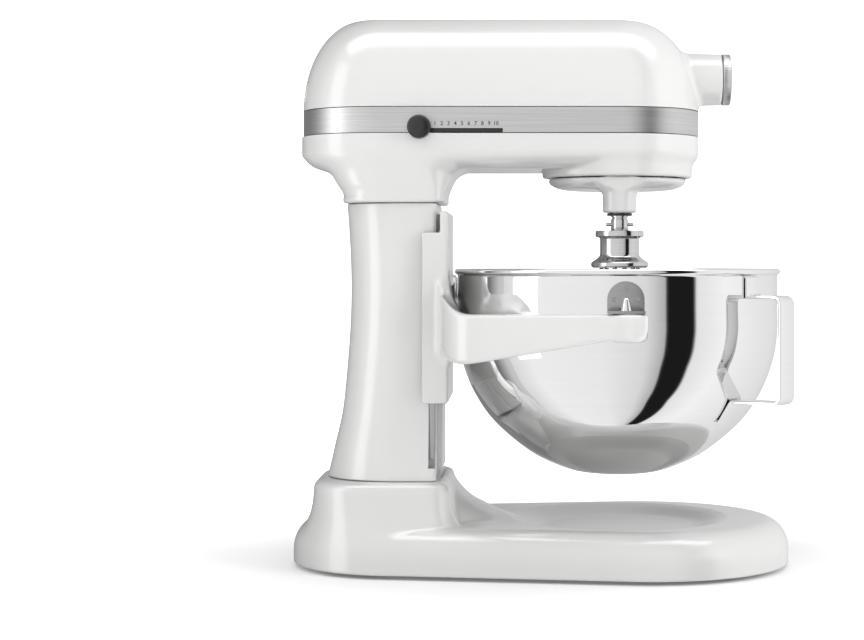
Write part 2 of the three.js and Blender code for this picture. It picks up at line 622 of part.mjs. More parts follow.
function makeWhiskHub() {
  const outer = [[0, 227.6], [19.6, 227.6], [21.5, 229], [21.5, 231.5], [15.4, 236], [14.75, 238],
    [14.75, 249.6], [18.15, 251], [18.15, 255.5], [0, 255.5]];
  const socket = bar('z', [251.6, 260], [...BEATER_AXIS, 0], BEATER_SHAFT_R + GAP);
  const wireRoom = bar('z', [220, 232.5], [...BEATER_AXIS, 0], 18.6, 18.6, 24);
  const neckRoom = bar('z', [230, 251.65], [...BEATER_AXIS, 0], 8.4);
  return cut(turned(outer, BEATER_AXIS, 32), socket, wireRoom, neckRoom);
}

const WHISK = { wires: 6, wireR: 1.15, rootR: 13.6, rootZ: 229.4, bottom: 90, nest: 4.7, width: 66 };

// One wire: down from the crimp plate on one side, round the bottom and back up on the other.
function whiskWire(number) {
  const width = WHISK.width - 2.2 * number;
  const bottom = WHISK.bottom + WHISK.nest * number;
  const depth = WHISK.rootZ - bottom;
  const half = [[WHISK.rootR, 0], [WHISK.rootR + 1.2, 0.03], [width * 0.72, 0.16], [width, 0.38],
    [width * 0.88, 0.6], [width * 0.55, 0.84], [width * 0.22, 0.965]];
  const points = [...half, [0, 1], ...half.map(([r, t]) => [-r, t]).reverse()];
  const turn = (number + 0.5) * 180 / WHISK.wires * RAD;
  const route = new THREE.CatmullRomCurve3(points.map(([r, t]) => new THREE.Vector3(
    BEATER_AXIS_X + r * Math.cos(turn), BEATER_Y + r * Math.sin(turn), WHISK.rootZ - depth * t)));
  const section = new THREE.Shape(arc(0, 0, WHISK.wireR, 0, 270, 3).map((p) => new THREE.Vector2(p.x, p.y)));
  return solid(new THREE.ExtrudeGeometry(section, { extrudePath: route, steps: 20, bevelEnabled: false }));
}

function makeWhiskWires() {
  const plate = bar('z', [WHISK.rootZ - 0.9, WHISK.rootZ + 1.4], [...BEATER_AXIS, 0], 17.6, 17.6, 24);
  const wires = Array.from({ length: WHISK.wires }, (_, i) => whiskWire(i));
  return join(plate, ...wires);
}

// ---------------------------------------------------------------- bowl
// The outside of the bowl below its straight wall, from the wall down to the middle.
const bowlCurve = new THREE.SplineCurve([
  [BOWL.wallR, 178], [119.4, 157], [110.2, 133], [94.4, 110],
  [68, 87.6], [44, 75.6], [26, 71], [0, BOWL.bottom],
].map(([r, z]) => new THREE.Vector2(r, z)));

const BOWL_STEPS = 8;
const BOWL_SIDES = 40;

function makeBowl() {
  const curve = bowlCurve.getSpacedPoints(BOWL_STEPS);
  const outer = curve.map((p) => [p.x, p.y]).reverse();
  const inner = curve.map((p, i) => {
    const tangent = bowlCurve.getTangentAt(i / BOWL_STEPS);
    return [Math.max(0, p.x + tangent.y * BOWL.sheet), p.y - tangent.x * BOWL.sheet];
  });
  const rim = [[BOWL.wallR, 222.6], [BOWL.rimR, 223.8], [BOWL.rimR, 226], [BOWL.rimR - 1, BOWL.top],
    [BOWL.wallR - BOWL.sheet, BOWL.top]];
  inner[BOWL_STEPS][0] = 0;
  return turned([...outer, ...rim, ...inner], [BOWL.x, 0], BOWL_SIDES);
}

// A flat strap bent along a route in the plane of the bowl's axis, then turned into place.
function makeHandle() {
  const { width, reach, top, bottom, strap, angle } = HANDLE;
  const wall = BOWL.wallR + GAP;
  const foot = 107.5 + GAP;
  const corner = 7;
  const shape = new THREE.Shape();
  shape.moveTo(wall, 221);
  shape.lineTo(wall, top - strap);
  shape.lineTo(reach - corner, top - strap);
  shape.absarc(reach - corner, top - corner, corner - strap, 90 * RAD, 0, true);
  shape.lineTo(reach - strap, bottom + corner);
  shape.absarc(reach - corner, bottom + corner, corner - strap, 0, -90 * RAD, true);
  shape.lineTo(foot + 2.6, bottom + strap);
  shape.lineTo(96.6, 111.6);
  shape.lineTo(98.6, 110);
  shape.lineTo(foot + 4, bottom);
  shape.lineTo(reach - corner, bottom);
  shape.absarc(reach - corner, bottom + corner, corner, -90 * RAD, 0, false);
  shape.lineTo(reach, top - corner);
  shape.absarc(reach - corner, top - corner, corner, 0, 90 * RAD, false);
  shape.lineTo(wall + 1.6, top);
  shape.lineTo(wall + 1.6, 221);
  const strip = new THREE.ExtrudeGeometry(shape, { depth: width, bevelEnabled: false, curveSegments: 4 });
  strip.translate(0, 0, -width / 2).rotateX(90 * RAD).rotateZ(angle * RAD).translate(BOWL.x, 0, 0);
  const outside = bowlCurve.getSpacedPoints(BOWL_STEPS).reverse().map((p) => [p.x + 0.4, p.y - 0.3]);
  const keepOff = turned([[0, 60], ...outside, [BOWL.wallR + 0.4, 230], [0, 230]], [BOWL.x, 0], BOWL_SIDES);
  return cut(solid(strip), keepOff);
}

// A dome-topped plate on the bowl's side, with a ledge that sits on the arm over its pin.
function makeBowlBracket(side) {
  const shape = new THREE.Shape();
  shape.moveTo(-13.2, 195.4);
  shape.lineTo(13.2, 195.4);
  shape.lineTo(13.2, 205.1);
  shape.absarc(0, 205.1, 13.2, 0, 180 * RAD, false);
  const plate = new THREE.ExtrudeGeometry(shape, { depth: 1.6, bevelEnabled: false, curveSegments: 10 });
  plate.rotateX(90 * RAD).translate(PIN.x, side > 0 ? 125.9 : -124.3, 0);
  const ledgeY = [side * 124.5, side * 137.5].sort((a, b) => a - b);
  const ledge = block([PIN.x - 13.2, PIN.x + 13.2], ledgeY, [195.4, 197.6]);
  const hole = bar('z', [190, 200], [PIN.x, side * PIN.y, 0], 5.2, 5.2, 20);
  return cut(join(solid(plate), ledge), hole);
}

function makeRearClip() {
  const leaf = block([-66.4, -64.9], [-9, 9], [203, 222.4]);
  const foot = block([-67.4, -64.9], [-6, 6], [204, 216]);
  const button = bar('x', [-69.2, -66], [0, 0, 210], 4, 5, 16);
  return join(leaf, foot, button);
}

// ---------------------------------------------------------------- bowl support and lift
function armOutline() {
  const shape = new THREE.Shape();
  shape.moveTo(-76, 168);
  shape.bezierCurveTo(-68, 160, -60, 158.5, -46, 161);
  shape.lineTo(45, 176);
  shape.lineTo(52, 175.6);
  shape.absarc(63.4, 186, 10.6, -80 * RAD, 0, false);
  shape.lineTo(74, 195);
  shape.lineTo(-52, 195);
  shape.quadraticCurveTo(-66, 195, -76, 215);
  return shape;
}

// The crank's eye with the bowl raised, behind and above the lift shaft.
const crankEye = {
  x: LIFT.x + LIFT.crank * Math.cos(LIFT.crankAngle * RAD),
  z: LIFT.z + LIFT.crank * Math.sin(LIFT.crankAngle * RAD),
};

// Both arms are cut from one side profile, so the same shape closes behind the bowl.
function makeBowlSupport() {
  const settings = { depth: 2 * FORK.halfWidth, bevelEnabled: false, curveSegments: 5 };
  const profile = new THREE.ExtrudeGeometry(armOutline(), settings);
  const slab = solid(profile.rotateX(90 * RAD).translate(0, FORK.halfWidth, 0));
  const { reach, halfWidth, corner, thickness, clearR } = FORK;
  const { back, flangeY, plate, bottom, flangeTop, top } = SLIDE;
  const outline = (inset) => roundedOutline(back + inset, reach, halfWidth - inset, corner, corner, 7);
  const fork = cut(
    loft([raised(outline(0), 150), raised(outline(0), 230)]),
    loft([raised(outline(thickness), 140), raised(outline(thickness), 240)]),
  );
  const front = block([back, SLIDE.front], [-flangeY - plate, flangeY + plate], [bottom, top]);
  const flanges = [-1, 1].map((side) => {
    const span = [side * flangeY, side * (flangeY + plate)].sort((a, b) => a - b);
    return block([-89, back + 1], span, [bottom, flangeTop]);
  });
  const lug = block([crankEye.x - 6, back + 1], [-5, 5], [LIFT.lugZ - 6, LIFT.lugZ + 6]);
  const linkBore = bar('y', [-6, 6], [crankEye.x, 0, LIFT.lugZ], 3.2, 3.2, 16);
  const clearBowl = bar('z', [100, 300], [BOWL.x, 0, 0], clearR, clearR, BOWL_SIDES);
  const pinBores = [-1, 1].map((side) => bar('z', [188.7, 200], [PIN.x, side * PIN.y, 0], 3.4, 3.4, 16));
  return cut(join(slab.intersect(fork), front, ...flanges, lug), linkBore, clearBowl, ...pinBores);
}

function makeLocatingPin(side) {
  const at = [PIN.x, side * PIN.y];
  return turned([[0, 189], [3, 189], [3, PIN.bottom + GAP], [4.25, PIN.bottom + GAP], [1.75, PIN.top],
    [0, PIN.top]], at, 20);
}

// The link that hangs from the support's lug down to the crank.
function makeLiftLink() {
  const { x, z } = crankEye;
  const pin = bar('y', [-4.6, 12.6], [x, 0, LIFT.lugZ], 2.9, 2.9, 16);
  const strip = block([x - 4.5, x + 4.5], [8.6, 12.6], [z - 5, LIFT.lugZ + 5]);
  return join(pin, strip);
}

// The bush in the column's wall that the lift shaft turns in.
function makeLiftBush() {
  const sleeveEnd = bar('y', [40, 53], [LIFT.x, 0, LIFT.z], 8);
  const flange = bar('y', [51.4, 54], [LIFT.x, 0, LIFT.z], 11);
  return cut(join(sleeveEnd, flange), bar('y', [30, 60], [LIFT.x, 0, LIFT.z], 5.1, 5.1, 20));
}

function makeCrank() {
  const boss = bar('y', [14, 24], [LIFT.x, 0, LIFT.z], 12, 12, 24);
  const arm = new THREE.BoxGeometry(LIFT.crank, 6, 10).translate(LIFT.crank / 2, 17, 0);
  arm.rotateY(-LIFT.crankAngle * RAD).translate(LIFT.x, 0, LIFT.z);
  const eye = bar('y', [14, 20], [crankEye.x, 0, crankEye.z], 5.2, 5.2, 20);
  return cut(join(boss, solid(arm), eye), bar('y', [5, 30], [LIFT.x, 0, LIFT.z], 5 + GAP, 5 + GAP, 20));
}

function makeLiftLever() {
  const { x, z, leverY, leverLength } = LIFT;
  const boss = bar('y', [leverY - 4, leverY + 5], [x, 0, z], 13, 12, 28);
  const arm = bar('z', [z, z + leverLength - 12], [x, leverY + 1, 0], 5.5, 4, 20);
  return cut(join(boss, arm), bar('y', [leverY - 6, leverY + 2], [x, 0, z], 5 + GAP, 5 + GAP, 20));
}

function makeLiftKnob() {
  const { x, z, leverY, leverLength } = LIFT;
  const start = z + leverLength - 11;
  return turned([[0, start], [8, start], [10.5, start + 6], [11, start + 16], [8.5, start + 25],
    [4, start + 28], [0, start + 28]], [x, leverY + 1], 24);
}

// ---------------------------------------------------------------- assembly
piece('base', makeBase(), 'enamel');
makeFeet();
piece('column', makeColumn(), 'enamel');
piece('lower_housing', makeLowerHousing(), 'enamel');
piece('trim_band', makeTrimBand(), 'brushed');
piece('top_cover', makeTopCover(), 'enamel');
piece('hub_housing', makeHubHousing(), 'enamel');
piece('hub_cap', makeHubCap(), 'brushed');
piece('hub_knob', makeHubKnob(), 'black');
piece('cord_gland', makeCordGland(), 'rubber');

piece('speed_knob', makeSpeedKnob(), 'black');
piece('speed_lever', makeSpeedLever(), 'black');
piece('control_board', block([-18, 30], [-50, -48.4], [332, 366]), 'board');

piece('stator_core', makeStator(), 'castIron');
piece('field_coil_upper', makeCoil(1), 'copper');
piece('field_coil_lower', makeCoil(-1), 'copper');
piece('armature_shaft', makeArmatureShaft(), 'steel');
piece('armature_core', collar(CORE, 22, SHAFT_R + GAP, 30), 'castIron');
piece('commutator', collar([-153, -139], 11, SHAFT_R + GAP, 24), 'copper');
piece('cooling_fan', makeFan(), 'nylon');
piece('rear_bearing_bracket', makeBearingBracket(-162), 'steel');
piece('front_bearing_bracket', makeBearingBracket(-46), 'steel');
piece('brush_holder_left', makeBrushHolder(1), 'brass');
piece('brush_holder_right', makeBrushHolder(-1), 'brass');

piece('intermediate_shaft', makeIntermediateShaft(), 'steel');
piece('worm_wheel', makeWormWheel(), 'brass');
piece('centre_gear', makeCentreGear(), 'steel');
piece('centre_shaft', makeCentreShaft(), 'steel');
piece('centre_mitre_gear', makeCentreMitre(), 'steel');
piece('centre_bush', sleeve([SKIRT.innerTop, 311], PLANET_AXIS, 9 - GAP, 6.1), 'brass');
piece('hub_spindle', makeHubSpindle(), 'steel');
piece('ring_gear', makeRingGear(), 'steel');
piece('planetary_carrier', makeCarrier(), 'enamel');

piece('beater_shaft', makeBeaterShaft(), 'polished');
piece('beater_pinion', makeBeaterPinion(), 'steel');
piece('shaft_collar', sleeve([266.6, 268.6], BEATER_AXIS, 9.5, BEATER_SHAFT_R + GAP), 'black');
piece('drive_pin', makeDrivePin(), 'polished');
piece('whisk_hub', makeWhiskHub(), 'polished');
piece('whisk_wires', makeWhiskWires(), 'polished');

piece('bowl', makeBowl(), 'polished');
piece('bowl_handle', makeHandle(), 'polished');
piece('bowl_bracket_left', makeBowlBracket(1), 'polished');
piece('bowl_bracket_right', makeBowlBracket(-1), 'polished');
piece('bowl_rear_clip', makeRearClip(), 'polished');

piece('bowl_support', makeBowlSupport(), 'enamel');
piece('locating_pin_left', makeLocatingPin(1), 'polished');
piece('locating_pin_right', makeLocatingPin(-1), 'polished');
piece('lift_link', makeLiftLink(), 'steel');
piece('lift_bush', makeLiftBush(), 'nylon');
piece('lift_shaft', bar('y', [8, LIFT.leverY + 1.6], [LIFT.x, 0, LIFT.z], 5, 5, 20), 'steel');
piece('lift_crank', makeCrank(), 'castIron');
piece('lift_lever', makeLiftLever(), 'brushed');
piece('lift_knob', makeLiftKnob(), 'black');

export default mixer;
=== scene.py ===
import json
import math

import bmesh
import bpy
import numpy as np
from mathutils import Matrix, Vector


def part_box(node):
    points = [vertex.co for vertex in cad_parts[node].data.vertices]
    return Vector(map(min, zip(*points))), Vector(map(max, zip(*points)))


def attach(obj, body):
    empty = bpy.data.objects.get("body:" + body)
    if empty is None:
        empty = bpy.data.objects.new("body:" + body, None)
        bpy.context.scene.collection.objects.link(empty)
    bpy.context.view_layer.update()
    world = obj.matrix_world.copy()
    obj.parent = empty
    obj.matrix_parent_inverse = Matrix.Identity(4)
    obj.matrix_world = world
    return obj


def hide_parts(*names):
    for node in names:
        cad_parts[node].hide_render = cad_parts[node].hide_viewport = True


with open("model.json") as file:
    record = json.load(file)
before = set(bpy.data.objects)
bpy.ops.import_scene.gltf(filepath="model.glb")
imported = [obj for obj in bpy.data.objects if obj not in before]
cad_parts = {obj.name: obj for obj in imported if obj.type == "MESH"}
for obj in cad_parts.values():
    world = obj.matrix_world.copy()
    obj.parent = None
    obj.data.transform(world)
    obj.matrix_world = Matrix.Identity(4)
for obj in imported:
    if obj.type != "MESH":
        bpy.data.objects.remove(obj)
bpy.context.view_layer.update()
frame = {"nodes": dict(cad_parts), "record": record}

MM = 0.001
COARSER = 1.0


def box_mm(node):
    low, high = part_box(node)
    return Vector(low) / MM, Vector(high) / MM


def middle_of(node):
    low, high = box_mm(node)
    return (low + high) / 2


# ---------------------------------------------------------------- places, read from the frame
base_low, base_high = box_mm("base")
column_low, column_high = box_mm("column")
housing_low, housing_high = box_mm("lower_housing")
band_low, band_high = box_mm("trim_band")
cover_low, cover_high = box_mm("top_cover")
carrier_low, carrier_high = box_mm("planetary_carrier")
bowl_low, bowl_high = box_mm("bowl")
support_low, support_high = box_mm("bowl_support")
hub_high = box_mm("hub_housing")[1]
cap_low, cap_high = box_mm("hub_cap")
knob_low, knob_high = box_mm("speed_knob")
lever_low, lever_high = box_mm("lift_lever")

BASE_FRONT_R = base_high.y  # the base's plan is the hull of a front and a rear circle
BASE_REAR_R = 84.0
BASE_FRONT_X = base_high.x - BASE_FRONT_R
BASE_REAR_X = base_low.x + BASE_REAR_R
PLATE_TOP = 36.6
SEAT_TOP = column_low.z - 0.3
TONGUE_TOP = base_high.z
DISH_X = 60.0
HEAD_R = band_high.y
HEAD_REAR_X = band_low.x + HEAD_R  # centres of the head's rear and front half circles
HEAD_FRONT_X = band_high.x - HEAD_R
PLANET_X = middle_of("planetary_carrier").x
BEATER = middle_of("beater_shaft")
HUB_Z = middle_of("hub_housing").z
BOWL_X = middle_of("bowl").x
PIN = middle_of("locating_pin_right")
LINK_X = middle_of("lift_link").x


# ---------------------------------------------------------------- materials
class Finish:
    """A material whose nodes are added one by one."""

    def __init__(self, name, **values):
        self.material = bpy.data.materials.new(name)
        self.material.use_nodes = True
        self.tree = self.material.node_tree
        self.shader = self.tree.nodes["Principled BSDF"]
        self.place = self.tree.nodes.new("ShaderNodeTexCoord").outputs["Object"]
        for socket, value in values.items():
            self.shader.inputs[socket.replace("_", " ")].default_value = value

    def noise(self, scale, detail=3.0, stretch=(1, 1, 1)):
        mapping = self.tree.nodes.new("ShaderNodeMapping")
        mapping.inputs["Scale"].default_value = stretch
        self.tree.links.new(self.place, mapping.inputs["Vector"])
        noise = self.tree.nodes.new("ShaderNodeTexNoise")
        noise.inputs["Scale"].default_value = scale
        noise.inputs["Detail"].default_value = detail
        self.tree.links.new(mapping.outputs["Vector"], noise.inputs["Vector"])
        return noise.outputs["Fac"]

    def colour(self, source, colour, change, start=0.3, end=0.7):
        """The base colour goes from a darker to a lighter neighbour of colour along source."""
        ramp = self.tree.nodes.new("ShaderNodeValToRGB")
        for element, place, side in zip(ramp.color_ramp.elements, (start, end), (-1, 1)):
            element.position = place
            element.color = [min(1.0, c * (1 + side * change)) for c in colour] + [1]
        self.tree.links.new(source, ramp.inputs["Fac"])
        self.tree.links.new(ramp.outputs["Color"], self.shader.inputs["Base Color"])

    def roughness(self, source, middle, change):
        spread = self.tree.nodes.new("ShaderNodeMapRange")
        spread.inputs["To Min"].default_value = middle * (1 - change)
        spread.inputs["To Max"].default_value = middle * (1 + change)
        self.tree.links.new(source, spread.inputs["Value"])
        self.tree.links.new(spread.outputs["Result"], self.shader.inputs["Roughness"])

    def bump(self, source, strength, depth):
        bump = self.tree.nodes.new("ShaderNodeBump")
        bump.inputs["Strength"].default_value = strength
        bump.inputs["Distance"].default_value = depth * MM
        self.tree.links.new(source, bump.inputs["Height"])
        self.tree.links.new(bump.outputs["Normal"], self.shader.inputs["Normal"])


def enamel():
    """Thick glossy enamel: a clear coat over a soft white, with a trace of orange peel."""
    finish = Finish("white_enamel", Coat_Weight=1.0, Coat_Roughness=0.16, Coat_IOR=1.7)
    finish.colour(finish.noise(9.0, 2.0), (0.56, 0.56, 0.555), 0.012)
    finish.roughness(finish.noise(30.0, 2.0), 0.3, 0.1)
    finish.bump(finish.noise(260.0, 1.0), 0.05, 0.08)
    return finish.material


def plain(name, colour, roughness, metallic=0.0, grain=900.0, depth=0.04, change=0.08):
    """A slightly mottled surface with a fine grain."""
    finish = Finish(name, Metallic=metallic)
    finish.colour(finish.noise(40.0), colour, change)
    finish.roughness(finish.noise(150.0), roughness, 0.15)
    finish.bump(finish.noise(grain, 2.0), 0.25, depth)
    return finish.material


def worked_steel(name, colour, roughness, stretch, scale, depth, change=0.05):
    """Steel with fine marks, which run along the directions that stretch leaves long."""
    finish = Finish(name, Metallic=1.0)
    marks = finish.noise(scale, 4.0, stretch)
    finish.colour(marks, colour, change)
    finish.roughness(marks, roughness, 0.3)
    finish.bump(marks, 0.2, depth)
    return finish.material


MATERIALS = {
    "white_enamel": enamel(),
    "brushed_trim": worked_steel("brushed_trim", (0.62, 0.62, 0.62), 0.38, (1, 1, 130), 12.0, 0.05, 0.10),
    "bowl_steel": worked_steel("bowl_steel", (0.80, 0.80, 0.80), 0.045, (1, 1, 30), 10.0, 0.0002, 0.01),
    "whisk_steel": worked_steel("whisk_steel", (0.58, 0.58, 0.58), 0.10, (1, 1, 60), 20.0, 0.008),
    "machined_steel": worked_steel("machined_steel", (0.42, 0.43, 0.44), 0.3, (60, 1, 1), 30.0, 0.04),
    "black_plastic": plain("black_plastic", (0.012, 0.012, 0.013), 0.32, grain=1400.0),
    "rubber": plain("rubber", (0.03, 0.03, 0.03), 0.85, grain=700.0, depth=0.1),
    "circuit_board": plain("circuit_board", (0.03, 0.14, 0.06), 0.5),
    "nylon": plain("nylon", (0.72, 0.68, 0.58), 0.45),
    "copper": plain("copper", (0.55, 0.22, 0.10), 0.35, metallic=1.0, grain=500.0),
    "core_iron": plain("core_iron", (0.10, 0.10, 0.11), 0.55, metallic=0.7, grain=300.0, depth=0.2),
    "bronze": plain("bronze", (0.50, 0.34, 0.14), 0.35, metallic=1.0),
}

DULL_STEEL = worked_steel("dull_steel", (0.36, 0.36, 0.36), 0.3, (1, 1, 8), 60.0, 0.01)


def paint_frame():
    """Gives every node of the frame its slot's finish."""
    slots = {part["node"]: part["material_slot"] for part in frame["record"]["subparts"]}
    for name, node in frame["nodes"].items():
        node.data.materials.clear()
        node.data.materials.append(MATERIALS[slots[name]])


# ---------------------------------------------------------------- meshes
def mesh_from(points, faces):
    mesh = bpy.data.meshes.new("piece")
    mesh.from_pydata((np.asarray(points, float) * MM).tolist(), [], np.asarray(faces).tolist()
                     if isinstance(faces, np.ndarray) else [list(face) for face in faces])
    return mesh


def welded(mesh):
    """The mesh with doubled points joined and every face turned outwards."""
    shape = bmesh.new()
    shape.from_mesh(mesh)
    bmesh.ops.remove_doubles(shape, verts=shape.verts, dist=0.001 * MM)
    bmesh.ops.dissolve_degenerate(shape, edges=shape.edges, dist=0.0005 * MM)
    bmesh.ops.recalc_face_normals(shape, faces=shape.faces)
    shape.to_mesh(mesh)
    shape.free()
    return mesh


def joined(*meshes):
    shape = bmesh.new()
    for mesh in meshes:
        shape.from_mesh(mesh)
    whole = bpy.data.meshes.new("piece")
    shape.to_mesh(whole)
    shape.free()
    return whole


def placed(name, data):
    """A new object for data, in the scene."""
    thing = bpy.data.objects.new(name, data)
    bpy.context.scene.collection.objects.link(thing)
    return thing


def spent(carrier):
    """The mesh that carrier gives, after which carrier is removed."""
    graph = bpy.context.evaluated_depsgraph_get()
    result = bpy.data.meshes.new_from_object(carrier.evaluated_get(graph))
    bpy.data.objects.remove(carrier)
    return result


def after(mesh, *steps):
    """The mesh after modifiers, each given as (type, settings)."""
    carrier = placed("carrier", mesh)
    for kind, settings in steps:
        modifier = carrier.modifiers.new(kind, kind)
        for key, value in settings.items():
            setattr(modifier, key, value)
    return spent(carrier)


def combined(mesh, tool, operation):
    """mesh with tool cut out of it ('DIFFERENCE') or joined to it ('UNION'), exactly."""
    other = placed("tool", tool)
    result = after(mesh, ("BOOLEAN", {"operation": operation, "object": other, "solver": "EXACT"}))
    bpy.data.objects.remove(other)
    return result


def bevelled(mesh, width, segments=3, angle=30.0):
    return after(mesh, ("BEVEL", {"width": width * MM, "segments": segments,
                                  "limit_method": "ANGLE", "angle_limit": math.radians(angle)}))


def add_piece(name, mesh, slot, body, *nodes, sharp=35.0, finish=None):
    """Shows a mesh as a piece that rides on a body and stands for some nodes of the frame."""
    mesh.shade_smooth()
    mesh.set_sharp_from_angle(angle=math.radians(sharp))
    mesh.materials.clear()
    mesh.materials.append(finish or MATERIALS[slot])
    piece = placed(name, mesh)
    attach(piece, body)
    if nodes:
        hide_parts(*nodes)
    return piece


AXES = {
    "x": Matrix(((0, 0, 1), (0, 1, 0), (-1, 0, 0))),
    "y": Matrix(((1, 0, 0), (0, 0, 1), (0, -1, 0))),
    "z": Matrix.Identity(3),
}


def loft(rings, closed_ends=True):
    """A skin over rings that have the same number of points."""
    count, last = len(rings[0]), len(rings) - 1
    points = [point for ring in rings for point in ring]
    faces = []
    for row in range(last):
        for i in range(count):
            j = (i + 1) % count
            faces.append((row * count + i, row * count + j, (row + 1) * count + j, (row + 1) * count + i))
    if closed_ends:
        faces.append(tuple(range(count)))
        faces.append(tuple(last * count + i for i in range(count)))
    return welded(mesh_from(points, faces))


def turned(profile, at, axis="z", sides=64, reach=None):
    """A turned shape about an axis through at. profile lists (radius, station); stations are
    measured along the axis from at. reach(radius, angle, station) may change the radius."""
    sides = int(sides / COARSER)
    rings = []
    for radius, station in profile:
        ring = []
        for i in range(sides):
            angle = 2 * math.pi * i / sides
            r = reach(radius, angle, station) if reach else radius
            point = Vector((r * math.cos(angle), r * math.sin(angle), station))
            ring.append(AXES[axis] @ point + Vector(at))
        rings.append(ring)
    return loft(rings, closed_ends=False)


def arc(cx, cy, r, start, end, steps):
    angles = [math.radians(start + (end - start) * i / steps) for i in range(steps + 1)]
    return [(cx + r * math.cos(a), cy + r * math.sin(a)) for a in angles]


def extruded(outline, axis, low, high):
    """An outline pushed along an axis: (y, z) pairs for 'x', (x, z) for 'y' and (x, y) for 'z'."""
    at = "xyz".index(axis)
    return loft([[(*pair[:at], w, *pair[at:]) for pair in map(tuple, outline)] for w in (low, high)])


def block(x, y, z):
    return extruded([(x[0], y[0]), (x[1], y[0]), (x[1], y[1]), (x[0], y[1])], "z", *z)


# ---------------------------------------------------------------- castings as fields
# A casting is where a field is negative. Fields are close to distances in millimetres, so they
# join with fillets and meet in rounded edges.
def rounded_and(a, b, r):
    """Inside both a and b, with the edge between them rounded to r."""
    u, v = a + r, b + r
    return np.minimum(np.maximum(u, v), 0) + np.hypot(np.maximum(u, 0), np.maximum(v, 0)) - r


def filleted_or(a, b, r):
    """Inside a or b, with a fillet of r where they meet."""
    return -rounded_and(-a, -b, r)


def elliptic_and(a, b, ra, rb):
    """Inside both a and b, with a quarter ellipse on the edge: ra across a and rb across b."""
    u, v = a / ra + 1, b / rb + 1
    inside = np.minimum(np.maximum(u, v), 0)
    return (inside + np.hypot(np.maximum(u, 0), np.maximum(v, 0)) - 1) * min(ra, rb)


def circles_field(x, y, x0, r0, x1, r1):
    """Plan distance to the hull of two circles on the X axis."""
    span = x1 - x0
    lean = (r0 - r1) / span
    run = math.sqrt(1 - lean * lean)
    across, ahead = np.abs(y), x - x0
    along = run * ahead - lean * across
    side = lean * ahead + run * across - r0
    first, second = np.hypot(across, ahead) - r0, np.hypot(across, ahead - span) - r1
    return np.where(along < 0, first, np.where(along > run * run * span, second, side))


def plan_field(x, y, x0, x1, half, rear_r, front_r):
    """Plan distance to a rectangle with its own corner radius at the rear and at the front."""
    middle = (x0 + x1) / 2
    r = np.where(x < middle, rear_r, front_r)
    qx, qy = np.abs(x - middle) - (x1 - x0) / 2 + r, np.abs(y) - half + r
    return np.hypot(np.maximum(qx, 0), np.maximum(qy, 0)) + np.minimum(np.maximum(qx, qy), 0) - r


def natural_curve(stations, values):
    """A natural cubic through values at stations, held constant beyond them."""
    s, v = np.asarray(stations, float), np.asarray(values, float)
    gap = np.diff(s)
    system, right = np.eye(len(s)), np.zeros(len(s))
    for i in range(1, len(s) - 1):
        system[i, i - 1:i + 2] = gap[i - 1], 2 * (gap[i - 1] + gap[i]), gap[i]
        right[i] = 6 * ((v[i + 1] - v[i]) / gap[i] - (v[i] - v[i - 1]) / gap[i - 1])
    bend = np.linalg.solve(system, right)

    def value(at):
        at = np.clip(at, s[0], s[-1])
        i = np.clip(np.searchsorted(s, at) - 1, 0, len(s) - 2)
        h, left, rest = gap[i], at - s[i], s[i + 1] - at
        cubic = (bend[i] * rest ** 3 + bend[i + 1] * left ** 3) / (6 * h)
        return cubic + (v[i] / h - bend[i] * h / 6) * rest + (v[i + 1] / h - bend[i + 1] * h / 6) * left

    return value


def curves_of(rows):
    """One curve over height for each column of rows, whose first column is the height."""
    heights, *columns = zip(*rows)
    return [natural_curve(heights, column) for column in columns]


def stack_field(x, y, z, curves):
    return plan_field(x, y, *(curve(z) for curve in curves))


def planes(low, high, step, dense=()):
    """Grid planes from low past high, with smaller steps over the dense (low, high, step)."""
    marks = [low]
    while marks[-1] < high:
        marks.append(marks[-1] + COARSER * min([step] + [s for a, b, s in dense if a <= marks[-1] < b]))
    return np.array(marks)


def slopes(field, p, step=0.04):
    result = np.empty_like(p)
    for axis in range(3):
        ahead, behind = p.copy(), p.copy()
        ahead[:, axis] += step
        behind[:, axis] -= step
        result[:, axis] = (field(*ahead.T) - field(*behind.T)) / (2 * step)
    return result


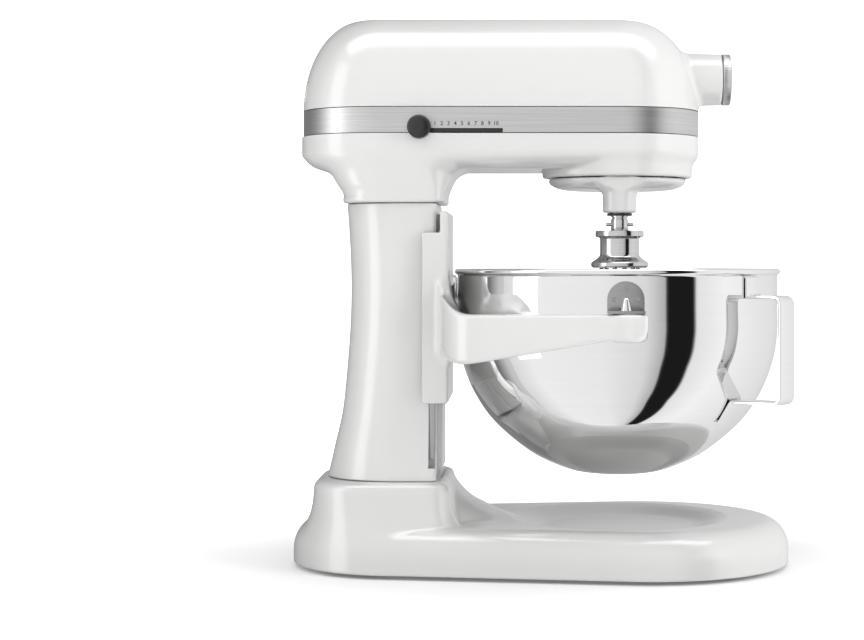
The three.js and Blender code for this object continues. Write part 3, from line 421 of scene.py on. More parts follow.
def skin(field, xs, ys, zs, open_top=None, open_bottom=None):
    """The surface where field is zero, as a quad mesh whose points lie on it. Where the grid
    ends at open_top or open_bottom the skin is left open, with its rim at that height."""
    grid = field(*np.meshgrid(xs, ys, zs, indexing="ij", sparse=True)) < 0
    shape = [n - 1 for n in grid.shape]
    corners = sum(grid[a:a + shape[0], b:b + shape[1], c:c + shape[2]].astype(np.int8)
                  for a in (0, 1) for b in (0, 1) for c in (0, 1))
    cells = np.argwhere((corners > 0) & (corners < 8))
    number = np.full(shape, -1)
    number[tuple(cells.T)] = np.arange(len(cells))
    centres = [(axis[1:] + axis[:-1]) / 2 for axis in (xs, ys, zs)]
    points = np.stack([centre[cells[:, k]] for k, centre in enumerate(centres)], 1)
    faces = []
    for axis in range(3):
        u, v = (axis + 1) % 3, (axis + 2) % 3
        here = grid.take(range(shape[axis]), axis)
        edges = np.argwhere(here != grid.take(range(1, shape[axis] + 1), axis))
        inner = (edges[:, u] > 0) & (edges[:, v] > 0) & (edges[:, u] < shape[u]) & (edges[:, v] < shape[v])
        edges = edges[inner]
        ring = []
        for du, dv in ((-1, -1), (0, -1), (0, 0), (-1, 0)):
            cell = edges.copy()
            cell[:, u] += du
            cell[:, v] += dv
            ring.append(number[tuple(cell.T)])
        ring = np.stack(ring, 1)
        inwards = ~here[tuple(edges.T)]
        ring[inwards] = ring[inwards][:, ::-1]
        faces.append(ring)
    faces = np.concatenate(faces)
    links = np.concatenate([faces[:, [i, (i + 1) % 4]] for i in range(4)])
    links = np.concatenate([links, links[:, ::-1]])
    degree = np.bincount(links[:, 0], minlength=len(points))[:, None]
    rims = [(cells[:, 2] == layer, height)
            for layer, height in ((0, open_bottom), (shape[2] - 1, open_top)) if height is not None]
    limit = np.stack([np.diff(axis)[cells[:, k]] for k, axis in enumerate((xs, ys, zs))], 1).max(1)[:, None]
    for relax in range(6):
        if relax:
            mean = np.stack([np.bincount(links[:, 0], points[links[:, 1], k], len(points))
                             for k in range(3)], 1)
            points = 0.5 * points + 0.5 * mean / degree
        for _ in range(3):
            for rim, height in rims:
                points[rim, 2] = height
            slope = slopes(field, points)
            for rim, _ in rims:
                slope[rim, 2] = 0
            move = -(field(*points.T) / np.maximum((slope ** 2).sum(1), 0.05))[:, None] * slope
            length = np.linalg.norm(move, axis=1, keepdims=True)
            points = points + move * np.minimum(1, limit / np.maximum(length, 1e-9))
    return mesh_from(points, faces)


def polygon_field(u, v, corners):
    """Distance to a closed polygon, negative inside it."""
    nearest, outside = np.inf, np.ones(np.broadcast(u, v).shape, bool)
    for (au, av), (bu, bv) in zip(corners, corners[1:] + corners[:1]):
        eu, ev, wu, wv = bu - au, bv - av, u - au, v - av
        t = np.clip((wu * eu + wv * ev) / (eu * eu + ev * ev), 0, 1)
        nearest = np.minimum(nearest, np.hypot(wu - eu * t, wv - ev * t))
        above, below, left = v >= av, v < bv, eu * wv > ev * wu
        outside = outside ^ ((above & below & left) | ~(above | below | left))
    return np.where(outside, nearest, -nearest)


def spline(points, steps, power=0.5):
    """Points along a Catmull-Rom curve, steps to each stretch; power 0.5 makes it centripetal."""
    p = [np.asarray(point, float) for point in points]
    p = [2 * p[0] - p[1]] + p + [2 * p[-1] - p[-2]]
    result = [p[1]]
    for a, b, c, d in zip(p, p[1:], p[2:], p[3:]):
        first, second, third = (max(np.linalg.norm(v - u), 1e-6) ** power
                                for u, v in ((a, b), (b, c), (c, d)))
        leave = second * ((b - a) / first - (c - a) / (first + second) + (c - b) / second)
        arrive = second * ((c - b) / second - (d - b) / (second + third) + (d - c) / third)
        for i in range(1, steps + 1):
            t = i / steps
            result.append(b + leave * t + (3 * (c - b) - 2 * leave - arrive) * t * t
                          + (2 * (b - c) + leave + arrive) * t ** 3)
    return result


# ---------------------------------------------------------------- base
SEAT = curves_of([
    (8, -189.4, -34, 83.8, 83, 44), (14, -189.4, -38, 83.6, 83, 40), (19, -188.2, -43, 82, 78, 34),
    (25, -185, -50, 79.4, 70, 28), (31, -181, -56, 76.4, 62, 24), (36, -178, -60, 73.8, 56, 20),
    (42, -175.5, -63.5, 71.5, 52, 18), (50, -173.5, -66.5, 69.8, 48, 16), (60, -172.4, -68, 68.6, 44, 15),
    (SEAT_TOP + 3, -172.0, -68.4, 68.0, 42, 15),
])
TONGUE = curves_of([
    (28, -90, -4, 70, 40, 40), (35, -90, -14, 66, 36, 36), (38, -90, -22.4, 63, 32, 32),
    (42, -88, -33, 58, 27, 27), (47, -86, -43.4, 53.6, 20, 20), (50.7, -84, -50.5, 51, 15, 15),
    (57, -80, -58.4, 48.6, 9, 9), (64, -75.2, -64.3, 46.6, 5, 6), (SEAT_TOP, -74.4, -66.9, 45.2, 2, 5),
    (TONGUE_TOP + 2, -74.4, -67.9, 44.4, 1.6, 4),
])
FEET = [name for name in frame["nodes"] if name.startswith("foot_")]
FOOT_PLACES = [middle_of(name) for name in FEET]


def base_field(x, y, z):
    plate = elliptic_and(circles_field(x, y, BASE_REAR_X, BASE_REAR_R, BASE_FRONT_X, BASE_FRONT_R),
                         z - PLATE_TOP, 20.0, 22.6)
    seat = rounded_and(stack_field(x, y, z, SEAT) * 0.9, z - SEAT_TOP, 7.5)
    nose, crown = x + 0.008 * y * y, z + 0.0035 * y * y
    tongue = rounded_and(stack_field(nose, y, crown, TONGUE) * 0.75, crown - TONGUE_TOP, 2.4)
    tongue = np.maximum(tongue, np.minimum(-74.4 - x, z - SEAT_TOP + 3))
    whole = filleted_or(filleted_or(plate, seat, 1.6), tongue, 3.0)
    r = np.hypot(x - DISH_X, y)
    fall = np.clip((86.0 - r) / 31.0, 0, 1)
    floor = PLATE_TOP - 7.0 * fall ** 2 * (3 - 2 * fall) + 1.3 * np.maximum(r - 82.0, 0)
    whole = np.maximum(whole, 0.8 * (z - floor))
    return rounded_and(whole, base_low.z - z, 1.4)


def hollow_base_field(x, y, z):
    """The base with its open underside and the posts that the feet are screwed to."""
    plan = circles_field(x, y, BASE_REAR_X, BASE_REAR_R, BASE_FRONT_X, BASE_FRONT_R)
    room = rounded_and(plan + 8.0, z - 22.0, 4.0)
    for at in FOOT_PLACES:
        room = np.maximum(room, 13.0 - np.hypot(x - at.x, y - at.y))
    return np.maximum(base_field(x, y, z), -room)


def make_base():
    xs = planes(base_low.x - 3, base_high.x + 3, 2.2, [(-92, -56, 1.5)])
    ys = planes(base_low.y - 3, base_high.y + 3, 2.2)
    zs = planes(base_low.z - 1.5, TONGUE_TOP + 2, 1.8,
                [(base_low.z - 2, base_low.z + 3, 0.9), (58, 76, 1.3)])
    mesh = skin(hollow_base_field, xs, ys, zs)
    add_piece("base_casting", mesh, "white_enamel", "stand", "base", sharp=50)
    for name in FEET:
        low, high = box_mm(name)
        r = (high.x - low.x) / 2
        profile = [(0, 0), (r - 3.4, 0), (r - 3.4, 0.8), (r - 2.4, 0.8), (r - 2.4, 0), (r - 1.3, 0),
                   (r - 0.7, 0.7), (r - 0.2, 4.2), (r, 4.5), (r, 5.7), (r - 0.3, 6), (0, 6)]
        at = (middle_of(name).x, middle_of(name).y, low.z)
        add_piece("rubber_" + name, turned(profile, at, sides=48), "rubber", "stand", name)


# ---------------------------------------------------------------- column
COLUMN_FRONT_R = 3.0
COLUMN_BODY_FRONT = -78.5
COLUMN = curves_of([
    (column_low.z, -163.2, 60.0, 50), (79, -160.8, 56.2, 48), (95, -157.4, 51.6, 46),
    (110, -153.8, 49.2, 44), (141, -149.6, 48, 43), (195, -145.8, 48.8, 43),
    (234, -145.8, 50.6, 43), (column_high.z, -148.4, 52, 44),
])
SIDE_GROOVE = {"x": (-84.4, -79.4), "z": (78.5, 235.0), "floor_y": 45.0}


def plan_ring(x0, x1, half, rear_r, front_r, z, corner_steps=24, side_steps=10):
    """A ring of points round a rectangle with rounded corners."""
    corners = [
        arc(x1 - front_r, half - front_r, front_r, 0, 90, corner_steps),
        arc(x0 + rear_r, half - rear_r, rear_r, 90, 180, corner_steps),
        arc(x0 + rear_r, rear_r - half, rear_r, 180, 270, corner_steps),
        arc(x1 - front_r, front_r - half, front_r, 270, 360, corner_steps),
    ]
    ring = []
    for corner, following in zip(corners, corners[1:] + corners[:1]):
        ring += corner
        (ax, ay), (bx, by) = corner[-1], following[0]
        ring += [(ax + (bx - ax) * i / side_steps, ay + (by - ay) * i / side_steps)
                 for i in range(1, side_steps)]
    return [(x, y, z) for x, y in ring]


def make_column():
    front = COLUMN_BODY_FRONT
    heights = np.linspace(column_low.z, column_high.z, 44)
    edge = [(0.0, 0.9), (0.35, 0.35), (0.9, 0.0)]
    stations = [(column_low.z + dz, inset) for dz, inset in edge]
    stations += [(z, 0.0) for z in heights[1:-1]]
    stations += [(column_high.z - dz, inset) for dz, inset in reversed(edge)]
    rings = []
    for z, inset in stations:
        rear, half, rear_r = (float(curve(z)) for curve in COLUMN)
        rings.append(plan_ring(rear + inset, front - inset, half - inset, rear_r, COLUMN_FRONT_R, z))
    mesh = loft(rings)
    for side in (-1, 1):
        depth = sorted((side * SIDE_GROOVE["floor_y"], side * 70))
        mesh = combined(mesh, block(SIDE_GROOVE["x"], depth, SIDE_GROOVE["z"]), "DIFFERENCE")
    # Grey steel strips line the side grooves. Their dark grey also stands in for the shade inside the
    # grooves, so they are partly painted shade.
    strips = [block((SIDE_GROOVE["x"][0] + 0.15, SIDE_GROOVE["x"][1] - 0.15),
                    sorted((side * SIDE_GROOVE["floor_y"], side * (SIDE_GROOVE["floor_y"] + 1.6))),
                    (SIDE_GROOVE["z"][0] + 6, SIDE_GROOVE["z"][1] - 1)) for side in (-1, 1)]
    add_piece("groove_strips_painted_shade", bevelled(joined(*strips), 0.3), "machined_steel", "stand")
    rail = bevelled(block((front - 2, column_high.x), (-30, 30), (75, 268)), 0.8)
    add_piece("column_casting", joined(mesh, rail), "white_enamel", "stand", "column")


# ---------------------------------------------------------------- head
TUB_FLOOR = 302.0
TUB_TOP = housing_high.z
NECK = curves_of([
    (housing_low.z, -149.2, -73.8, 54.8, 28, 8), (277.4, -149.7, -73.2, 55.7, 29, 8),
    (279.4, -150.0, -72.8, 56.0, 29, 9), (281.6, -149.7, -72.8, 55.8, 29, 9),
    (285, -150.7, -72.2, 55.8, 30, 10), (289, -153.4, -70.6, 56.4, 31, 13),
    (295, -157.2, -67.4, 57.2, 34, 20), (302, -163.4, -60, 58.4, 40, 32),
    (308, -173, -48, 59.2, 50, 46), (313, -181, -34, 59.6, 59, 57),
])
SKIRT_LOW = 296.2


def housing_field(x, y, z):
    plan = circles_field(x, y, HEAD_REAR_X, HEAD_R, HEAD_FRONT_X, HEAD_R)
    tub = elliptic_and(plan, TUB_FLOOR - z, 20.0, 13.5)
    neck = stack_field(x, y, z, NECK) * 0.8
    axle = np.hypot(x - PLANET_X, y)
    skirt = rounded_and(axle - 57.4 - 0.075 * (z - SKIRT_LOW), np.maximum(SKIRT_LOW - z, z - 316), 1.8)
    whole = filleted_or(filleted_or(tub, neck, 5.0), skirt, 1.6)
    whole = rounded_and(whole, housing_low.z - z, 1.0)
    return np.maximum(whole, -rounded_and(axle - 53.2, z - 303.5, 1.5))


def make_housing():
    xs = planes(band_low.x - 3, band_high.x + 3, 2.0)
    ys = planes(band_low.y - 3, band_high.y + 3, 2.0)
    zs = planes(housing_low.z - 1.5, TUB_TOP - 0.6, 1.8,
                [(housing_low.z - 2, 283, 0.7), (293, 299, 0.9), (306, 317, 1.2)])
    mesh = skin(housing_field, xs, ys, zs, open_top=TUB_TOP)
    add_piece("gear_housing", mesh, "white_enamel", "stand", "lower_housing", sharp=50)


def head_ring(inset, z, steps=56):
    """The head's outline, drawn in by inset, with points along its straight sides too."""
    r = HEAD_R - inset
    front = arc(HEAD_FRONT_X, 0, r, -90, 90, steps)
    rear = arc(HEAD_REAR_X, 0, r, 90, 270, steps)
    sides = np.linspace(HEAD_FRONT_X, HEAD_REAR_X, 25)[1:-1]
    ring = front + [(x, r) for x in sides] + rear + [(x, -r) for x in sides[::-1]]
    return [(x, y, z) for x, y in ring]


SLOT = {"x": (-96.0, -29.0), "top": 331.2}
DIGITS = {"first_x": -79.2, "pitch": 5.02, "z": 333.4, "size": 4.1}


def make_band():
    low, high, wall = band_low.z, band_high.z, 2.2
    profile = [(0.35, low), (0, low + 0.35), (0, high - 0.35), (0.35, high), (wall, high), (wall, low),
               (0.35, low)]
    mesh = loft([head_ring(inset, z) for inset, z in profile], closed_ends=False)
    slot = block(SLOT["x"], (-HEAD_R - 5, -HEAD_R + 5), (low - 5, SLOT["top"]))
    mesh = combined(mesh, slot, "DIFFERENCE")
    add_piece("brushed_band", mesh, "brushed_trim", "stand", "trim_band")
    rear, front = SLOT["x"]
    insert = block((rear + 0.3, front - 0.3), (-HEAD_R + 0.2, -HEAD_R + 2), (low + 0.3, SLOT["top"] - 0.2))
    add_piece("slot_insert", bevelled(insert, 0.15), "black_plastic", "stand")
    for number in range(1, 11):
        label = bpy.data.curves.new("label", "FONT")
        label.body = str(number)
        label.size = DIGITS["size"] * MM
        label.align_x = "CENTER"
        label.extrude = 0.05 * MM
        label.offset = 0.06 * MM
        mesh = spent(placed("carrier", label))
        at = Vector((DIGITS["first_x"] + DIGITS["pitch"] * (number - 1), -HEAD_R + 0.02, DIGITS["z"])) * MM
        mesh.transform(Matrix.Translation(at) @ Matrix.Rotation(math.radians(90), 4, "X"))
        add_piece(f"speed_mark_{number}", mesh, "black_plastic", "stand")


COVER_LOW = cover_low.z
COVER_TOP = cover_high.z
COVER_EDGE = 46.0  # width of the cover's rounded edge at its rear and sides
COVER_EDGE_FRONT = 52.0
HUB_R = natural_curve([90, 106, 119, 138.6], [20.9, 20.5, 20.1, 19.6])


def cover_field(x, y, z):
    """A cap whose edge is a quarter ellipse, wider in front than at the rear and sides."""
    drawn = np.zeros_like(x + y + z)
    for _ in range(3):
        ahead = np.clip(x, HEAD_REAR_X, HEAD_FRONT_X - (COVER_EDGE_FRONT - COVER_EDGE) * drawn)
        drawn = np.clip((HEAD_R - np.hypot(x - ahead, y)) / COVER_EDGE, -0.5, 1.2)
    across = np.maximum(1 - drawn, 0)
    up = np.maximum((z - COVER_LOW) / (COVER_TOP - COVER_LOW), 0)
    return (np.hypot(across, up) - 1) * 54.0


def cover_with_hub_field(x, y, z):
    along = np.hypot(y, z - HUB_Z)
    hub = rounded_and(along - HUB_R(x), np.maximum(x - hub_high.x, 60 - x), 1.2)
    whole = filleted_or(cover_field(x, y, z), hub, 4.5)
    bore = np.maximum(along - 13.2, 106.0 - x)
    screw = np.maximum(np.hypot(x - middle_of("hub_knob").x, z - HUB_Z) - 3.3, -y)
    row = np.abs(y) % 9.0
    vent = np.maximum(np.maximum(np.minimum(row, 9.0 - row) - 2.0, np.abs(y) - 21), np.abs(z - 360) - 6)
    vent = np.maximum(vent, x - cover_low.x - 9)
    return np.maximum(np.maximum(np.maximum(whole, -bore), -screw), -vent)


def make_cover():
    rear, front = cover_low.x, hub_high.x
    xs = planes(rear - 3, front + 2, 2.2,
                [(96, 112, 1.5), (front - 3, front + 3, 0.8), (rear - 3, rear + 9, 1.2)])
    ys = planes(cover_low.y - 3, cover_high.y + 3, 2.2, [(-22, 22, 1.0)])
    zs = planes(COVER_LOW + 0.2, COVER_TOP + 2.5, 2.2, [(350, 395, 1.5)])
    mesh = skin(cover_with_hub_field, xs, ys, zs, open_bottom=COVER_LOW)
    add_piece("cover_casting", mesh, "white_enamel", "stand", "top_cover", "hub_housing", sharp=50)


# ---------------------------------------------------------------- head fittings
def make_head_fittings():
    knob = middle_of("speed_knob")
    front, back, r = knob_low.y, knob_high.y, knob_high.z - knob.z
    profile = [(0, front)] + arc_profile(r, front, 2.6)
    profile += [(r, back - 2.2), (r - 0.4, back - 1.4), (r - 2.6, back - 0.4), (0, back - 0.4)]
    ball = turned(profile, (knob.x, 0, knob.z), "y", 96)
    add_piece("speed_ball", ball, "black_plastic", "speed_control", "speed_knob")

    start, end, r = cap_low.x, cap_high.x, 19.7
    disc = hub_high.x + 0.4

    def knurled(radius, angle, station):
        groove = 0.22 * (0.5 - 0.5 * math.cos(60 * angle)) if disc + 1.2 < station < end - 1.2 else 0
        return radius - (groove if radius > 19 else 0)

    profile = [(0, start), (12.0, start), (12.6, start + 0.6), (12.6, disc)]
    profile += [(r - 0.6, disc), (r, disc + 0.6), (r, disc + 1.2), (r, disc + 1.3)]
    profile += [(r, end - 1.3), (r, end - 1.2), (r, end - 0.7), (r - 0.7, end), (r - 3.6, end)]
    profile += [(r - 4.2, end - 0.3), (r - 4.6, end - 1.4), (r - 5.4, end - 1.6), (3, end - 1.6)]
    profile += [(0, end - 1.6)]
    cap = turned(profile, (0, 0, HUB_Z), "x", 240, knurled)
    add_piece("hub_disc", cap, "brushed_trim", "hub_cap", "hub_cap")

    low, high = box_mm("hub_knob")
    at = middle_of("hub_knob")
    r = high.x - at.x

    def fluted(radius, angle, station):
        flute = 0.55 * max(0, math.cos(12 * angle)) if radius > 8 and station > 20.8 else 0
        return radius - flute

    profile = [(0, low.y), (3.0, low.y), (3.0, 19.6), (r - 1.6, 19.6), (r - 0.4, 20.6), (r, 22.4),
               (r - 0.4, high.y - 2.4), (r - 1.2, high.y - 0.8), (r - 2.6, high.y),
               (r - 4.4, high.y - 0.2), (0, high.y - 0.4)]
    grip = turned(profile, (at.x, 0, at.z), "y", 96, fluted)
    add_piece("hub_thumb_knob", grip, "black_plastic", "hub_knob", "hub_knob")

    low, high = box_mm("cord_gland")
    at = middle_of("cord_gland")
    r = high.x - at.x
    profile = [(0, low.y), (r - 1, low.y)]
    for i in range(4):
        y = low.y + 2.2 + i * (high.y - low.y - 3) / 4
        profile += [(r - 0.9, y), (r - 0.9, y + 0.7), (r, y + 0.9), (r, y + 1.6)]
    profile += [(r - 1.2, high.y), (3.8, high.y), (3.6, high.y - 3), (0, high.y - 3)]
    add_piece("cord_boot", turned(profile, (at.x, 0, at.z), "y", 48), "rubber", "stand", "cord_gland")


def arc_profile(r, face, edge):
    """A domed face and a rounded edge, from the axis out to radius r."""
    start = face + 1.1
    dome = [(r * 0.35, face + 0.12), (r * 0.6, face + 0.45), (r - edge, start)]
    return dome + [(r - edge + edge * math.sin(a), start + edge * (1 - math.cos(a)))
                   for a in map(math.radians, range(15, 91, 15))]


# ---------------------------------------------------------------- planetary and beater
BOSS = natural_curve([266, 281, 285, 289.6], [12.75, 12.9, 13.6, 15.5])
SET_SCREW_Z = 282.6


def carrier_field(x, y, z):
    axle = np.hypot(x - PLANET_X, y)
    disc = elliptic_and(axle - 52.8, 287.0 - z, 18.0, 7.5)
    disc = rounded_and(disc, z - carrier_high.z, 0.4)
    boss_axle = np.hypot(x - BEATER.x, y - BEATER.y)
    boss = rounded_and((boss_axle - BOSS(z)) * 0.9, np.maximum(carrier_low.z - z, z - 294.0), 1.3)
    whole = np.maximum(filleted_or(disc, boss, 5.0), axle - 52.6)
    screw = np.maximum(np.hypot(y - BEATER.y, z - SET_SCREW_Z) - 2.1, x - BEATER.x + 10.5)
    return np.maximum(np.maximum(whole, np.minimum(6.8 - boss_axle, 284.0 - z)), -screw)


def make_planetary():
    r = carrier_high.x - PLANET_X
    xs = planes(PLANET_X - r - 3, PLANET_X + r + 3, 1.5)
    ys = planes(-r - 3, r + 3, 1.5)
    zs = planes(carrier_low.z - 1.5, carrier_high.z + 1.5, 1.1)
    mesh = skin(carrier_field, xs, ys, zs)
    add_piece("planet_casting", mesh, "white_enamel", "planetary", "planetary_carrier", sharp=50)
    screw = turned([(0, -10.6), (1.0, -10.6), (1.0, -11.6), (1.8, -11.6), (1.9, -11.3), (1.9, -8), (0, -8)],
                   (BEATER.x, BEATER.y, SET_SCREW_Z), "x", 24)
    add_piece("set_screw", screw, "machined_steel", "planetary")

    low, high = box_mm("beater_shaft")
    r = high.x - BEATER.x
    at = (BEATER.x, BEATER.y, 0)
    profile = [(0, low.z), (r - 1.0, low.z), (r - 0.2, low.z + 0.8), (r, low.z + 1.2), (r, 264.0),
               (r - 0.8, 264.3), (r - 0.8, 265.4), (r, 265.7), (r, high.z - 0.4), (r - 0.4, high.z),
               (0, high.z)]
    add_piece("beater_spindle", turned(profile, at, sides=64), "whisk_steel", "beater", "beater_shaft")

    low, high = box_mm("shaft_collar")
    r = high.x - BEATER.x
    profile = [(6.55, low.z), (r - 0.5, low.z), (r, low.z + 0.5), (r, high.z - 0.5), (r - 0.5, high.z),
               (6.55, high.z), (6.55, low.z)]
    add_piece("spindle_washer", turned(profile, at, sides=64), "black_plastic", "beater", "shaft_collar")

    low, high = box_mm("drive_pin")
    level = middle_of("drive_pin").z
    r = high.z - level
    profile = [(0, low.x), (r - 0.4, low.x), (r, low.x + 0.5), (r, high.x - 0.5), (r - 0.4, high.x),
               (0, high.x)]
    pin = turned(profile, (0, BEATER.y, level), "x", 24)
    add_piece("bayonet_pin", pin, "whisk_steel", "beater", "drive_pin")

    profile = [(18.6, 232.3), (18.6, 227.7), (18.9, 227.6), (19.6, 227.6), (20.6, 228.1), (21.5, 229.0),
               (21.5, 231.3), (20.9, 232.0), (18.2, 233.9), (16.1, 235.4), (15.2, 236.5), (14.8, 238.2),
               (14.75, 240.0), (14.75, 249.2), (14.9, 249.8), (15.6, 250.3), (17.4, 250.7), (18.0, 251.1),
               (18.15, 251.7), (18.15, 254.8), (17.9, 255.3), (17.4, 255.5), (9.2, 255.5), (8.6, 255.2),
               (8.4, 254.6), (8.4, 232.3), (18.6, 232.3)]
    ferrule = turned(profile, at, sides=128)
    notch = block((BEATER.x - 11.4, BEATER.x + 11.4), (BEATER.y - 1.8, BEATER.y + 1.8), (254.3, 258))
    ferrule = combined(ferrule, notch, "DIFFERENCE")
    add_piece("whisk_ferrule", ferrule, "whisk_steel", "beater", "whisk_hub")
    make_wires()


def make_wires():
    wires, wire_r, root_r, root_z = 6, 1.15, 13.6, 229.4
    bottom, nest, width = 90.0, 4.7, 66.0  # each wire hangs nest higher than the one outside it
    plate = [(0, root_z - 0.9), (17.2, root_z - 0.9), (17.6, root_z - 0.5), (17.6, root_z + 1.0),
             (17.2, root_z + 1.4), (0, root_z + 1.4)]
    shapes = [turned(plate, (BEATER.x, BEATER.y, 0), sides=64)]
    for number in range(wires):
        w, depth = width - 2.2 * number, root_z - bottom - nest * number
        half = [(root_r, 0), (root_r + 1.2, 0.03), (w * 0.72, 0.16), (w, 0.38), (w * 0.88, 0.6),
                (w * 0.55, 0.84), (w * 0.22, 0.965)]
        turn = math.radians((number + 0.5) * 180 / wires)
        along = np.array([math.cos(turn), math.sin(turn), 0])
        across = np.array([-math.sin(turn), math.cos(turn), 0])
        route = spline([np.array([BEATER.x, BEATER.y, root_z - depth * t]) + r * along
                        for r, t in half + [(0, 1)] + [(-r, t) for r, t in half[::-1]]], 9)
        rings = []
        for i, point in enumerate(route):
            ahead = route[min(i + 1, len(route) - 1)] - route[max(i - 1, 0)]
            up = np.cross(across, ahead / np.linalg.norm(ahead))
            rings.append([point + wire_r * (across * math.cos(a) + up * math.sin(a))
                          for a in np.linspace(0, 2 * math.pi, 13)[:-1]])
        shapes.append(loft(rings))
    add_piece("whisk_cage", joined(*shapes), "whisk_steel", "beater", "whisk_wires")


# ---------------------------------------------------------------- bowl
BOWL_SHEET = 1.2
BOWL_WALL_R = 122.8
BOWL_CURVE = spline([(BOWL_WALL_R, 200), (BOWL_WALL_R, 178), (119.4, 157), (110.2, 133), (94.4, 110),
                     (68, 87.6), (44, 75.6), (26, 71), (0, bowl_low.z)], 9, 0)


def make_bowl():
    inner = []
    for i, point in enumerate(BOWL_CURVE):
        run = BOWL_CURVE[min(i + 1, len(BOWL_CURVE) - 1)] - BOWL_CURVE[max(i - 1, 0)]
        run = run / np.linalg.norm(run)
        inner.append((max(0.0, point[0] + run[1] * BOWL_SHEET), point[1] - run[0] * BOWL_SHEET))
    inner[-1] = (0, bowl_low.z + BOWL_SHEET)
    w, top, rim = BOWL_WALL_R, bowl_high.z, bowl_high.x - BOWL_X
    outer = [tuple(point) for point in BOWL_CURVE[::-1]]
    outer[0] = (0, bowl_low.z)
    bead = [(w, 212), (w, 220.8), (w, 221.9), (w + 0.5, 222.35)]
    bead += [(rim - 2.2 + 2.2 * math.cos(a), top - 2.3 + 2.3 * math.sin(a))
             for a in np.radians(range(-60, 130, 15))]
    bead += [(w - BOWL_SHEET, top - 1.0), (w - BOWL_SHEET, 224), (w - BOWL_SHEET, 212)]
    shell = turned(outer + bead + inner, (BOWL_X, 0, 0), sides=224)
    add_piece("bowl_shell", shell, "bowl_steel", "bowl", "bowl", sharp=60)


HANDLE_ANGLE = -39.5
HANDLE_WIDTH = 19.0


def strap_outline(reach=153.5, top=207.7, bottom=128.3, strap=2.5, corner=7.0):
    wall, foot = BOWL_WALL_R + 0.25, 107.7
    outline = [(wall, 221), (wall, top - strap)]
    outline += arc(reach - corner, top - corner, corner - strap, 90, 0, 6)
    outline += arc(reach - corner, bottom + corner, corner - strap, 0, -90, 6)
    outline += [(foot + 2.8, bottom + strap), (foot + 1.2, bottom + 1.0), (98.0, 112.9), (98.9, 111.7),
                (foot + 3.0, bottom - 0.4), (foot + 4.6, bottom)]
    outline += arc(reach - corner, bottom + corner, corner, -90, 0, 8)
    outline += arc(reach - corner, top - corner, corner, 0, 90, 8)
    return outline + [(wall + 2.4, top), (wall + 1.6, top + 0.8), (wall + 1.6, 220.4), (wall + 1.2, 221)]


def weld_dots(places, facing, size=1.7):
    """Shallow round spot welds at places, standing out of the metal along facing."""
    shapes = []
    facing = Vector(facing).normalized()
    turn = facing.to_track_quat("Z", "Y").to_matrix()
    for place in places:
        profile = ((size, -0.05), (size, 0.05), (size * 0.8, 0.22), (size * 0.45, 0.12), (0.05, 0.08))
        rings = [[Vector(place) + turn @ Vector((r * math.cos(a), r * math.sin(a), h))
                  for a in np.linspace(0, 2 * math.pi, 21)[:-1]] for r, h in profile]
        shapes.append(loft(rings))
    return joined(*shapes)


def make_bowl_fittings():
    turn = math.radians(HANDLE_ANGLE)
    strap = extruded(strap_outline(), "y", -HANDLE_WIDTH / 2, HANDLE_WIDTH / 2)
    strap = bevelled(strap, 0.5, 3, 40)
    dots = weld_dots([(BOWL_WALL_R + 1.85, y, 216.6) for y in (-5.2, 5.2)], (1, 0, 0))
    strap = joined(strap, dots)
    strap.transform(Matrix.Translation((BOWL_X * MM, 0, 0)) @ Matrix.Rotation(turn, 4, "Z"))
    add_piece("bowl_grip", strap, "bowl_steel", "bowl", "bowl_handle")

    for name in ("bowl_bracket_right", "bowl_bracket_left"):
        low, high = box_mm(name)
        side = -1 if middle_of(name).y < 0 else 1
        half, base, dome = (high.x - low.x) / 2, low.z, high.z - (high.x - low.x) / 2
        outline = [(PIN.x - half, base), (PIN.x + half, base)] + arc(PIN.x, dome, half, 0, 180, 28)
        faces = sorted((side * 124.3, side * 125.9))
        plate = extruded(outline, "y", *faces)
        ledge_y = sorted((side * 124.6, side * 137.5))
        ledge = extruded([(PIN.x - half, ledge_y[0]), (PIN.x + half, ledge_y[0]), (PIN.x + half, ledge_y[1]),
                          (PIN.x - half, ledge_y[1])], "z", base, base + 2.2)
        hole = turned([(0, base - 3), (5.2, base - 3), (5.2, base + 6), (0, base + 6)],
                      (PIN.x, side * 130.0, 0), sides=48)
        ledge = bevelled(combined(ledge, hole, "DIFFERENCE"), 0.35, 2, 50)
        welds = [(PIN.x + x, side * 125.95, z) for x, z in ((-8.6, 205.5), (8.6, 205.5), (0, 214.2))]
        bracket = joined(bevelled(plate, 0.4, 2, 50), ledge, weld_dots(welds, (0, side, 0)))
        add_piece(name + "_plate", bracket, "bowl_steel", "bowl", name, finish=DULL_STEEL)

    low, high = box_mm("bowl_rear_clip")
    leaf = [(-64.9, 203.0), (-66.4, 203.0), (-66.4, 219.0), (-67.2, 220.8), (-68.6, 221.6),
            (-68.4, 222.4), (-66.6, 222.2), (-65.2, 220.6), (-64.9, 219.0)]
    leaf = bevelled(extruded(leaf, "y", low.y, high.y), 0.25, 2, 40)
    foot = bevelled(block((-67.4, -64.9), (-6, 6), (204, 216)), 0.6)
    button = turned([(0, low.x), (3.4, low.x), (4.0, low.x + 0.5), (4.9, -66.4), (5, -66), (0, -66)],
                    (0, 0, 210), "x", 40)
    add_piece("rear_clip_leaf", joined(leaf, foot, button), "bowl_steel", "bowl", "bowl_rear_clip")


# ---------------------------------------------------------------- bowl support
def bezier(controls, stations):
    """Points of a Bezier curve at stations between 0 and 1."""
    last = len(controls) - 1
    shares = [[math.comb(last, i) * (1 - t) ** (last - i) * t ** i for i in range(last + 1)]
              for t in stations]
    return [tuple(point) for point in np.array(shares) @ np.array(controls, float)]


